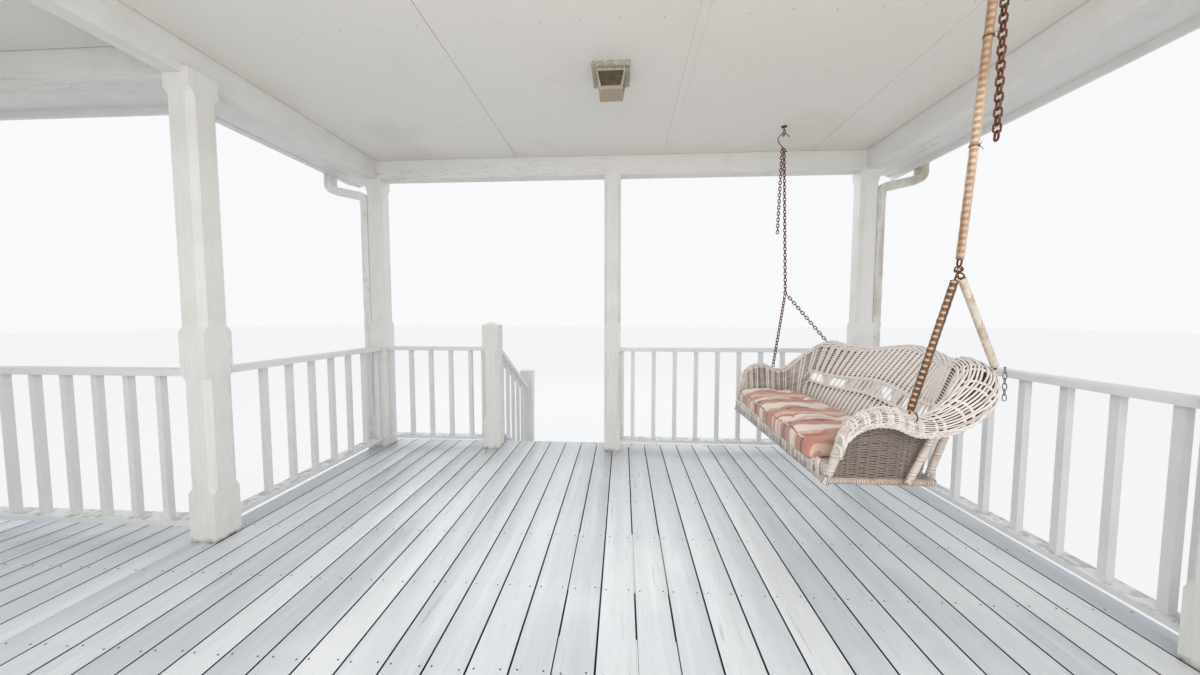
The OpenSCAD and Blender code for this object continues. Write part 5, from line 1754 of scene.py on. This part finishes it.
@dataclass
class SeatCushion:
    """Box cushion in striped cloth, tufted and piped, swollen by a cloth simulation."""

    finishes: Finishes
    shrink: float = 0.013
    voxel: float = 0.0072
    pressure: float = 4.0
    frames: int = 20
    cap: float = 0.014
    front_round: float = 0.05
    back_round: float = 0.10
    draw_near: float = 0.030
    draw_far: float = 0.075
    droop: float = 0.014
    edge: float = 0.016
    tufts: tuple[int, int] = (5, 2)
    tuft_depth: float = 0.029
    tuft_width: float = 0.052
    fold_depth: float = 0.0100
    spokes: tuple[float, ...] = (35.0, 150.0, 215.0, 330.0)
    piping: float = 0.0042

    def __post_init__(self) -> None:
        """Reads the cushion's space."""
        self.low, self.high = (np.array(corner, dtype=float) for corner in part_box("swing_cushion"))

    def round_uprights(self, at_back: bool, radius: float) -> None:
        """Rounds the upright edges of the active block at its back or its front.

        Args:
            at_back: Whether the back ones are rounded.
            radius: The rounding.
        """
        work = bmesh.from_edit_mesh(bpy.context.object.data)
        middle = (self.low[0] + self.high[0]) / 2
        for edge in work.edges:
            first, second = (vertex.co for vertex in edge.verts)
            upright = abs(first.x - second.x) + abs(first.y - second.y) < 1e-6
            edge.select = upright and (first.x > middle) == at_back
        bmesh.update_edit_mesh(bpy.context.object.data)
        bpy.ops.mesh.bevel(offset=radius, segments=8, affect="EDGES")

    def block(self) -> bpy.types.Object:
        """The cushion before it swells."""
        inset = np.array((self.shrink, self.shrink, self.shrink * 0.4))
        made = Bench.box("seat_cushion", self.low + (self.shrink, self.shrink, 0.001), self.high - inset)
        bpy.ops.object.mode_set(mode="EDIT")
        bpy.ops.mesh.select_mode(type="EDGE")
        self.round_uprights(True, self.back_round)
        self.round_uprights(False, self.front_round)
        bpy.ops.mesh.select_all(action="DESELECT")
        bpy.ops.mesh.edges_select_sharp(sharpness=math.radians(60))
        bpy.ops.mesh.bevel(offset=self.edge, segments=3, affect="EDGES")
        bpy.ops.object.mode_set(mode="OBJECT")
        modifier = made.modifiers.new("grid", "REMESH")
        modifier.mode = "VOXEL"
        modifier.voxel_size = self.voxel
        modifier.use_smooth_shade = True
        bpy.ops.object.modifier_apply(modifier=modifier.name)
        return made

    def draw_in(self, piece: bpy.types.Object) -> None:
        """Draws the front edge back, more at the far end, and lets it droop past the seat's front.

        Args:
            piece: The cushion.
        """
        points = Bench.points(piece)
        low, high = self.low, self.high
        share = np.clip((points[:, 1] - low[1]) / (high[1] - low[1]), 0.0, 1.0)
        draw = (self.draw_near + (self.draw_far - self.draw_near) * share ** 1.5) / (high[0] - low[0])
        points[:, 0] = high[0] - (high[0] - points[:, 0]) * (1.0 - draw)
        past = np.clip((low[0] + 0.13 - points[:, 0]) / 0.10, 0.0, 1.0)
        points[:, 2] -= self.droop * past ** 1.5
        Bench.place(piece, points)

    def swell(self, piece: bpy.types.Object) -> None:
        """Swells the block as cloth under pressure, no point further than the cap.

        Args:
            piece: The cushion.
        """
        rest = Bench.points(piece)
        cloth = piece.modifiers.new("cloth", "CLOTH")
        cloth.settings.quality = 4
        cloth.settings.mass = 0.3
        cloth.settings.tension_stiffness = cloth.settings.compression_stiffness = 12
        cloth.settings.use_pressure = True
        cloth.settings.uniform_pressure_force = self.pressure
        cloth.settings.effector_weights.gravity = 0.0
        cloth.point_cache.frame_start, cloth.point_cache.frame_end = 1, self.frames
        for step in range(1, self.frames + 1):
            bpy.context.scene.frame_set(step)
        Bench.pick(piece)
        bpy.ops.object.modifier_apply(modifier=cloth.name)
        bpy.context.scene.frame_set(1)
        shift = Bench.points(piece) - rest
        keep = np.minimum(1.0, self.cap / np.maximum(np.linalg.norm(shift, axis=1), 1e-9))
        Bench.place(piece, rest + shift * keep[:, None])

    def tuft(self, piece: bpy.types.Object) -> None:
        """Draws the top down at the tufts and in folds that run from them, and flattens the underside.

        Args:
            piece: The cushion.
        """
        low, high = self.low, self.high
        points = Bench.points(piece)
        x, y, z = points.T
        middle = (low[2] + high[2]) / 2
        top = np.clip((z - middle) / (high[2] - middle), 0.0, 1.0)
        drop = 0.0028 * np.sin(y * 47.0 + 3.0 * np.sin(x * 17.0)) * np.sin(x * 31.0)
        columns, rows = (np.linspace(low[k], high[k], count * 2 + 1)[1::2] for k, count in zip((1, 0), self.tufts))
        for i, row in enumerate(rows):
            for j, column in enumerate(columns):
                dx, dy = x - row, y - column
                drop += self.tuft_depth * np.exp(-(np.hypot(dx, dy) / self.tuft_width) ** 2)
                for k, spoke in enumerate(np.radians(self.spokes)):
                    turn = spoke + 0.35 * math.sin(3.1 * i + 1.7 * j + 2.3 * k)
                    ahead = dx * math.cos(turn) + dy * math.sin(turn)
                    aside = -dx * math.sin(turn) + dy * math.cos(turn) + 0.006 * np.sin(ahead * 60.0 + k)
                    fold = np.exp(-(aside / 0.007) ** 2) * np.exp(-((ahead - 0.045) / 0.045) ** 2) * (ahead > 0)
                    drop += self.fold_depth * fold
        inside = np.clip((x - low[0] - 0.11) / 0.02, 0.0, 1.0)
        points[:, 2] = np.maximum(z - drop * top, low[2] + 0.0005 - self.droop * (1.0 - inside))
        Bench.place(piece, points)

    def along_cloth(self, points: np.ndarray, edge: float = 0.03) -> np.ndarray:
        """How far along the cloth each point lies, carried down over the ends.

        Args:
            points: Places on the cloth.
            edge: Width over which the cloth turns down.

        Returns:
            Metres along the cloth.
        """
        low, high = self.low, self.high
        past = points[:, 1] - (low[1] + high[1]) / 2
        half = (high[1] - low[1]) / 2 - self.shrink
        beyond = np.clip(np.abs(past) - (half - edge), 0.0, edge) / edge
        down = (high[2] - points[:, 2]) * beyond * 1.6
        return points[:, 1] - low[1] + np.sign(past) * down + 0.86 + 0.004 * np.sin(points[:, 0] * 9.0)

    def pipe(self, piece: bpy.types.Object, count: int = 220, power: float = 0.22) -> bpy.types.Object:
        """A piped seam round the top edge, laid on the swollen cloth.

        Args:
            piece: The cushion.
            count: Points round the seam.
            power: How square its outline is.

        Returns:
            The seam.
        """
        points = Bench.points(piece)
        middle, half = (self.low + self.high) / 2, (self.high - self.low) / 2
        turn = np.linspace(0.0, 2 * math.pi, count, endpoint=False)
        across, along = (np.sign(wave) * np.abs(wave) ** power for wave in (np.cos(turn), np.sin(turn)))
        targets = np.stack([middle[0] + 0.02 + half[0] * across, middle[1] + (half[1] + 0.02) * along,
                            np.full(count, self.high[2] + 0.05)], axis=-1)
        near = np.array([points[np.argmin(np.sum((points - target) ** 2, axis=1))] for target in targets])
        for _ in range(4):
            near = (np.roll(near, 1, 0) + near * 2 + np.roll(near, -1, 0)) / 4
        part = Bench.tube(near, self.piping, 8, closed=True)
        return Bench.mesh("cushion_piping", [part], {"stripe": [self.along_cloth(part[0]) + 0.07]})

    def build(self) -> None:
        """Makes the cushion."""
        piece = self.block()
        self.draw_in(piece)
        self.swell(piece)
        self.tuft(piece)
        Bench.pick(piece)
        refine = piece.modifiers.new("refine", "SUBSURF")
        refine.levels = refine.render_levels = 1
        bpy.ops.object.modifier_apply(modifier=refine.name)
        Bench.store(piece.data, "stripe", self.along_cloth(Bench.points(piece)))
        piece.data.polygons.foreach_set("use_smooth", [True] * len(piece.data.polygons))
        Bench.dress(self.pipe(piece), self.finishes.cloth, SWING, "cushion_cloth")
        Bench.dress(piece, self.finishes.cloth, SWING, "cushion_cloth", "swing_cushion")


@dataclass(frozen=True)
class Link:
    """Sizes of one chain's links."""

    length: float
    width: float
    wire: float

    def model(self) -> bpy.types.Object:
        """One link round its middle, long along z."""
        half = self.width / 2 - self.wire / 2
        straight = self.length / 2 - self.wire / 2 - half
        turn = np.linspace(0.0, 2 * math.pi, 14, endpoint=False)
        path = np.stack([half * np.cos(turn), np.zeros(14),
                         half * np.sin(turn) + np.sign(np.sin(turn + 1e-6)) * straight], axis=-1)
        return Bench.mesh("link", [Bench.tube(path, self.wire / 2, 6, closed=True)])

    def run(self, start: Vector, end: Vector, turn_by: float = 0.0) -> list[Matrix]:
        """Places of links along a line, each turned a quarter against the last.

        Args:
            start, end: Ends of the line.
            turn_by: A turn that all of them share.

        Returns:
            One matrix for each link.
        """
        way = end - start
        count = max(1, round(way.length / (self.length - 2 * self.wire)))
        turn = way.to_track_quat("Z", "Y").to_matrix().to_4x4()
        return [Matrix.Translation(start + way * ((i + 0.5) / count)) @ turn
                @ Matrix.Rotation(math.pi / 2 * (i % 2) + turn_by, 4, "Z") for i in range(count)]


class SleeveTone(Enum):
    """Age of a sleeve: how brown it is, and how creamy."""

    CLEAR = (0.0, 0.0)
    BROWN = (1.0, 0.0)
    CREAM = (0.0, 1.0)


@dataclass
class Chains:
    """The two hangers: open hooks, links, sleeves, joint rings and loose chain ends."""

    seat: WovenSeat
    finishes: Finishes
    main_link: Link = Link(0.034, 0.023, 0.0060)
    tail_link: Link = Link(0.037, 0.026, 0.0066)
    end_link: Link = Link(0.028, 0.015, 0.0032)
    sleeve: float = 0.0125
    sleeve_sides: int = 16
    sleeve_rings: int = 60
    ring_r: float = 0.012
    ring_wire: float = 0.0035
    hook_inset: float = 0.0235
    ring_in: float = 0.100
    ring_above_deck: float = 1.355
    hook_sway: float = 0.042
    hook_drop: float = 0.115
    hook_wire: float = 0.003
    tail_length: float = 0.610
    bare_top: float = 0.020
    bare_end: float = 0.010
    tie_wire: float = 0.0018
    arm_wire: float = 0.0024
    binding_wire: float = 0.0009

    def chain(self, name: str, size: Link, places: Sequence[Matrix], seed: int, *stands_for: str,
              finish: str = "rust") -> None:
        """Makes one chain of the swing.

        Args:
            name: The piece's name.
            size: Its link.
            places: Places of the links.
            seed: Seed of the links' tones.
            stands_for: CAD nodes that it replaces.
            finish: Name of its finish.
        """
        made = Bench.repeat(size.model(), places, name, seed)
        Bench.dress(made, getattr(self.finishes, finish), SWING, "rusty_steel", *stands_for)

    def sleeves(self, name: str, spans: Sequence[tuple[Vector, Vector, SleeveTone]]) -> None:
        """Sleeves from start to end, a little uneven in thickness, with their length, turn and tone for the pattern.

        Args:
            name: The piece's name.
            spans: Start, end and tone of each sleeve.
        """
        parts = []
        values: dict[str, list[np.ndarray]] = {"along": [], "around": [], "brown": [], "cream": []}
        ring, sides = np.arange(self.sleeve_rings), self.sleeve_sides
        swell = self.sleeve * (0.96 + 0.04 * np.sin(ring * 1.9) + 0.02 * np.sin(ring * 5.3))
        for start, end, tone in spans:
            parts.append(Bench.tube(Bench.line(start, end, self.sleeve_rings), swell, sides))
            along = np.linspace(0.0, 1.0, self.sleeve_rings) * (end - start).length
            values["along"].append(np.repeat(along, sides))
            values["around"].append(np.tile(np.arange(sides) / sides, self.sleeve_rings))
            for key, value in zip(("brown", "cream"), tone.value):
                values[key].append(np.full(self.sleeve_rings * sides, value))
        Bench.dress(Bench.mesh(name, parts, values), self.finishes.sleeve, SWING, "chain_sleeve")

    def open_hook(self, hook: Vector, fall: Vector, t: float) -> Vector:
        """Middle line of the open hook, through the eye at 0 and past the chain at 1.

        Args:
            hook: The eye.
            fall: Direction of the chain.
            t: Where along the line.

        Returns:
            A point of the line.
        """
        sway = Vector((-self.hook_sway * math.sin(math.pi * t), 0.0, 0.0))
        return hook + sway + fall * (self.hook_drop * abs(t) ** 1.3)

    def binding(self, place: Vector, way: Vector, ends: float) -> Part:
        """Thin wire tied round a sleeve, its ends poking out.

        Args:
            place: Where it is tied.
            way: Direction of the sleeve.
            ends: How far the first end pokes out.

        Returns:
            Vertices and faces.
        """
        turn = np.linspace(0.0, 4.5 * math.pi, 44)
        side = way.cross(Vector((0.0, 1.0, 0.0))).normalized()
        other = way.cross(side).normalized()
        radius = self.sleeve + 0.0012
        path = [place + side * (radius * math.cos(a)) + other * (radius * math.sin(a)) + way * (0.0005 * a)
                for a in turn]
        path.insert(0, path[0] + side * ends + way * 0.012)
        path.append(path[-1] + other * ends - way * 0.010)
        return Bench.tube(np.array(path), self.binding_wire, 5)

    def ring_and_hook(self, hook: Vector, fall: Vector, ring: Vector) -> list[Part]:
        """The joint ring, the open hook, and the wire knotted through the ring.

        Args:
            hook: The eye.
            fall: Direction of the chain.
            ring: The ring's middle.

        Returns:
            One part for each of them.
        """
        turn = np.linspace(0, 2 * math.pi, 24, endpoint=False)
        circle = np.array(ring) + np.stack([np.cos(turn), np.zeros(24), np.sin(turn)], -1) * self.ring_r
        line = np.array([self.open_hook(hook, fall, t) for t in np.linspace(-0.35, 1.16, 40)])
        knot = np.linspace(0.0, 6 * math.pi, 60)
        tie = np.stack([0.008 * np.cos(knot), 0.009 * np.sin(knot * 0.77), 0.009 * np.sin(knot)], -1) + np.array(ring)
        return [Bench.tube(circle, self.ring_wire / 2, 8, closed=True), Bench.tube(line, self.hook_wire, 10),
                Bench.tube(tie, self.tie_wire, 6)]

    def arm_hook(self, arm: Vector) -> Part:
        """The small hook that the front leg ends in, bent over the arm's outer side.

        Args:
            arm: The leg's end.

        Returns:
            Vertices and faces.
        """
        turn = np.radians(np.linspace(80.0, -120.0, 18))
        path = np.stack([0.004 * np.cos(turn), -0.016 * np.cos(turn) - 0.020, 0.018 * np.sin(turn) - 0.010], -1)
        return Bench.tube(path + np.array(arm), self.arm_wire, 8)

    def hanger(self, side: int, node: str) -> None:
        """One hanger.

        Args:
            side: -1 for the hanger nearer the house, 1 for the other.
            node: The CAD node that it stands for.
        """
        seat = self.seat
        near = side < 0
        name = "near" if near else "far"
        hook_y = float(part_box("swing_hooks")[0 if near else 1][1]) - side * self.hook_inset
        hook = Vector((seat.hinge_x, hook_y, seat.hinge_z))
        ring = Vector((seat.hinge_x, hook_y - side * self.ring_in, seat.plan.deck_high[2] + self.ring_above_deck))
        clear = self.ring_r + self.ring_wire / 2 + 0.0006
        fall = (ring - hook).normalized()
        top, low_end = hook + fall * self.hook_drop, ring - fall * clear
        arm = seat.roll_place((side * seat.side_u, -0.095, math.pi if near else 0.0), 0.0, seat.weave_t / 2)
        arm.z += 0.003
        back = seat.roll_place(seat.corner(side, 20.0), 45.0, seat.weave_t / 2 + 0.0095)
        places = self.main_link.run(top, low_end)
        spans = [(top + fall * self.bare_top, low_end - fall * self.bare_top, SleeveTone.CLEAR)]
        for point, tone in ((arm, SleeveTone.BROWN), (back, SleeveTone.CREAM)):
            way = (point - ring).normalized()
            start = ring + way * (clear + 0.004)
            places += self.main_link.run(start, point)
            spans.append((start + way * self.bare_top, point - way * self.bare_end, tone))
        if near:
            self.sleeves(f"{name}_sleeves", spans)
        self.chain(f"{name}_chain", self.main_link, places, 41, node)
        tail = self.open_hook(hook, fall, 1.16 if near else 0.9)
        link = self.tail_link if near else self.main_link
        foot = tail + Vector((0.0 if near else -0.018, 0.0, -self.tail_length))
        self.chain(f"{name}_tail", link, link.run(tail, foot, 0.25), 43)
        fittings = self.ring_and_hook(hook, fall, ring)
        if near:
            for share, ends in ((0.30, 0.030), (0.62, 0.016)):
                fittings.append(self.binding(top.lerp(low_end, share), fall, ends))
            fittings.append(self.arm_hook(arm))
            end = back + Vector((0.030, -0.004, 0.004))
            places = self.end_link.run(end, end + Vector((0.004, 0.0, -0.125)), 0.4)
            self.chain("near_loose_end", self.end_link, places, 47, finish="zinc")
        Bench.dress(Bench.mesh(f"{name}_fittings", fittings), self.finishes.rust, SWING, "rusty_steel")

    def build(self) -> None:
        """Makes both hangers."""
        self.hanger(-1, "hanger_front")
        self.hanger(1, "hanger_back")


@dataclass(frozen=True)
class Studio:
    """Camera, floor, backdrop and lights."""

    focal_px: float = 388.2083
    photo_width: int = 1200
    sensor: float = 36.0
    eye: Point = (1.3182, -2.1512, 1.930)
    yaw: float = 0.0584
    pitch: float = -0.0587
    roll: float = 0.0005

    def camera(self) -> None:
        """Puts the camera where the photograph was taken."""
        data = bpy.data.cameras.new("photo_camera")
        data.sensor_width = self.sensor
        data.lens = self.focal_px * self.sensor / self.photo_width
        data.clip_start, data.clip_end = 0.02, 200.0
        made = Bench.add("photo_camera", data)
        across = math.cos(self.pitch)
        ahead = Vector((-math.sin(self.yaw) * across, math.cos(self.yaw) * across, math.sin(self.pitch)))
        level = Vector((math.cos(self.yaw), math.sin(self.yaw), 0.0))
        upright = level.cross(ahead)
        right = level * math.cos(self.roll) + upright * math.sin(self.roll)
        up = upright * math.cos(self.roll) - level * math.sin(self.roll)
        made.matrix_world = Matrix.Translation(self.eye) @ Matrix((right, up, -ahead)).transposed().to_4x4()
        bpy.context.scene.camera = made

    def world(self) -> None:
        """Pale surroundings: plain light on the object, near white to the camera and to reflections."""
        world = bpy.data.worlds.new("surroundings")
        bpy.context.scene.world = world
        sheet = Sheet("surroundings", world)
        rays = [sheet.node("ShaderNodeLightPath", out=f"Is {kind} Ray")
                for kind in ("Camera", "Glossy", "Transmission")]
        seen = rays[0].maths("MAXIMUM", rays[1]).maths("MAXIMUM", rays[2])
        light = sheet.node("ShaderNodeBackground", {}, {"Color": (0.93, 0.96, 1.0), "Strength": 0.96})
        shown = sheet.node("ShaderNodeBackground", {}, {"Color": PALE, "Strength": 1.0})
        both = sheet.node("ShaderNodeMixShader", {}, {0: seen, 1: light, 2: shown})
        sheet.node("ShaderNodeOutputWorld", {}, {"Surface": both})

    def floor(self) -> None:
        """A wide pale floor."""
        Bench.pick()
        bpy.ops.mesh.primitive_plane_add(size=120.0, location=(0, 0, 0))
        made = bpy.context.object
        made.name = "studio_floor"
        sheet = Sheet("studio_floor")
        lit = sheet.node("ShaderNodeBsdfPrincipled", {}, {"Base Color": (0.74, 0.73, 0.71), "Roughness": 0.9})
        shown = sheet.node("ShaderNodeEmission", {}, {"Color": PALE, "Strength": 1.0})
        seen = sheet.node("ShaderNodeLightPath", out="Is Camera Ray") * 0.85
        both = sheet.node("ShaderNodeMixShader", {}, {0: seen, 1: lit, 2: shown})
        sheet.node("ShaderNodeOutputMaterial", {}, {"Surface": both})
        made.data.materials.append(sheet.material)

    def area(self, name: str, place: Point, aim: Point, size: tuple[float, float], power: float,
             colour: Colour) -> None:
        """Adds one soft area lamp.

        Args:
            name: The lamp's name.
            place: Where it stands.
            aim: What it points at.
            size: Its width and height.
            power: Its power in watts.
            colour: Its colour.
        """
        data = bpy.data.lights.new(name, "AREA")
        data.shape = "RECTANGLE"
        data.size, data.size_y = size
        data.energy = power
        data.color = colour
        made = Bench.add(name, data)
        made.location = place
        made.rotation_euler = (Vector(aim) - Vector(place)).to_track_quat("-Z", "Y").to_euler()

    def build(self) -> None:
        """Sets up the studio."""
        self.camera()
        self.world()
        self.floor()
        self.area("fill_house", (1.3, -2.5, 2.3), (1.2, 1.5, 2.2), (3.6, 1.4), 42.0, (1.0, 0.97, 0.93))
        self.area("sky_front", (0.0, 8.0, 6.0), (0.5, 0.0, 1.5), (8.0, 5.0), 230.0, (0.95, 0.98, 1.0))
        bpy.context.scene.view_settings.view_transform = "Standard"


def dress_frame(finishes: Finishes) -> None:
    """Gives every CAD node that stays its own finish.

    Args:
        finishes: The finishes.
    """
    wanted = {
        "concrete": "piers", "timber_x": "ledger floor_joists roof_main roof_wing",
        "timber_y": "floor_beams roof_frame", "skirt": "rim_boards stair_stringers risers",
        "post": "newel_upper posts_front posts_right posts_wing", "newel": "newels_lower",
        "rail_x": "railing_front_left railing_front_right railing_wing_front",
        "rail_y": "stair_rails railing_right_front railing_right_back railing_left_side railing_wing_end",
        "beam_x": "beams_front", "beam_y": "beams_side", "trim": "gables barge_boards eaves",
        "metal": "gutters downspouts", "bronze": "light_housing", "glass": "light_glass", "bulb": "light_bulb",
        "rust": "swing_hooks", "post_cane": "swing_frame", "tread": "tread_top tread_upper tread_lower tread_bottom",
    }
    for finish, names in wanted.items():
        for name in names.split():
            materials = frame["nodes"][name].data.materials
            materials.clear()
            materials.append(getattr(finishes, finish))


def main() -> None:
    """Builds the studio and every piece in turn."""
    logging.basicConfig(level=logging.INFO, format="%(name)s: %(message)s")
    plan = Plan.read()
    shelf = float(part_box("railing_front_right")[0][2]) + 0.026
    holder = float(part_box("light_bulb")[1][2]) - 0.036
    finishes = Finishes(plan.deck_high[2], shelf, holder, float(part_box("swing_weave")[0][2]))
    Studio().build()
    dress_frame(finishes)
    Floor(plan, finishes).build()
    Ceiling(plan, finishes).build()
    Lantern(finishes).build()
    Roof(plan, finishes).build()
    seat = WovenSeat(plan, finishes)
    seat.build()
    SeatFrame(seat).build()
    SeatCushion(finishes).build()
    Chains(seat, finishes).build()
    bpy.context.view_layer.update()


if __name__ == "__main__":
    main()
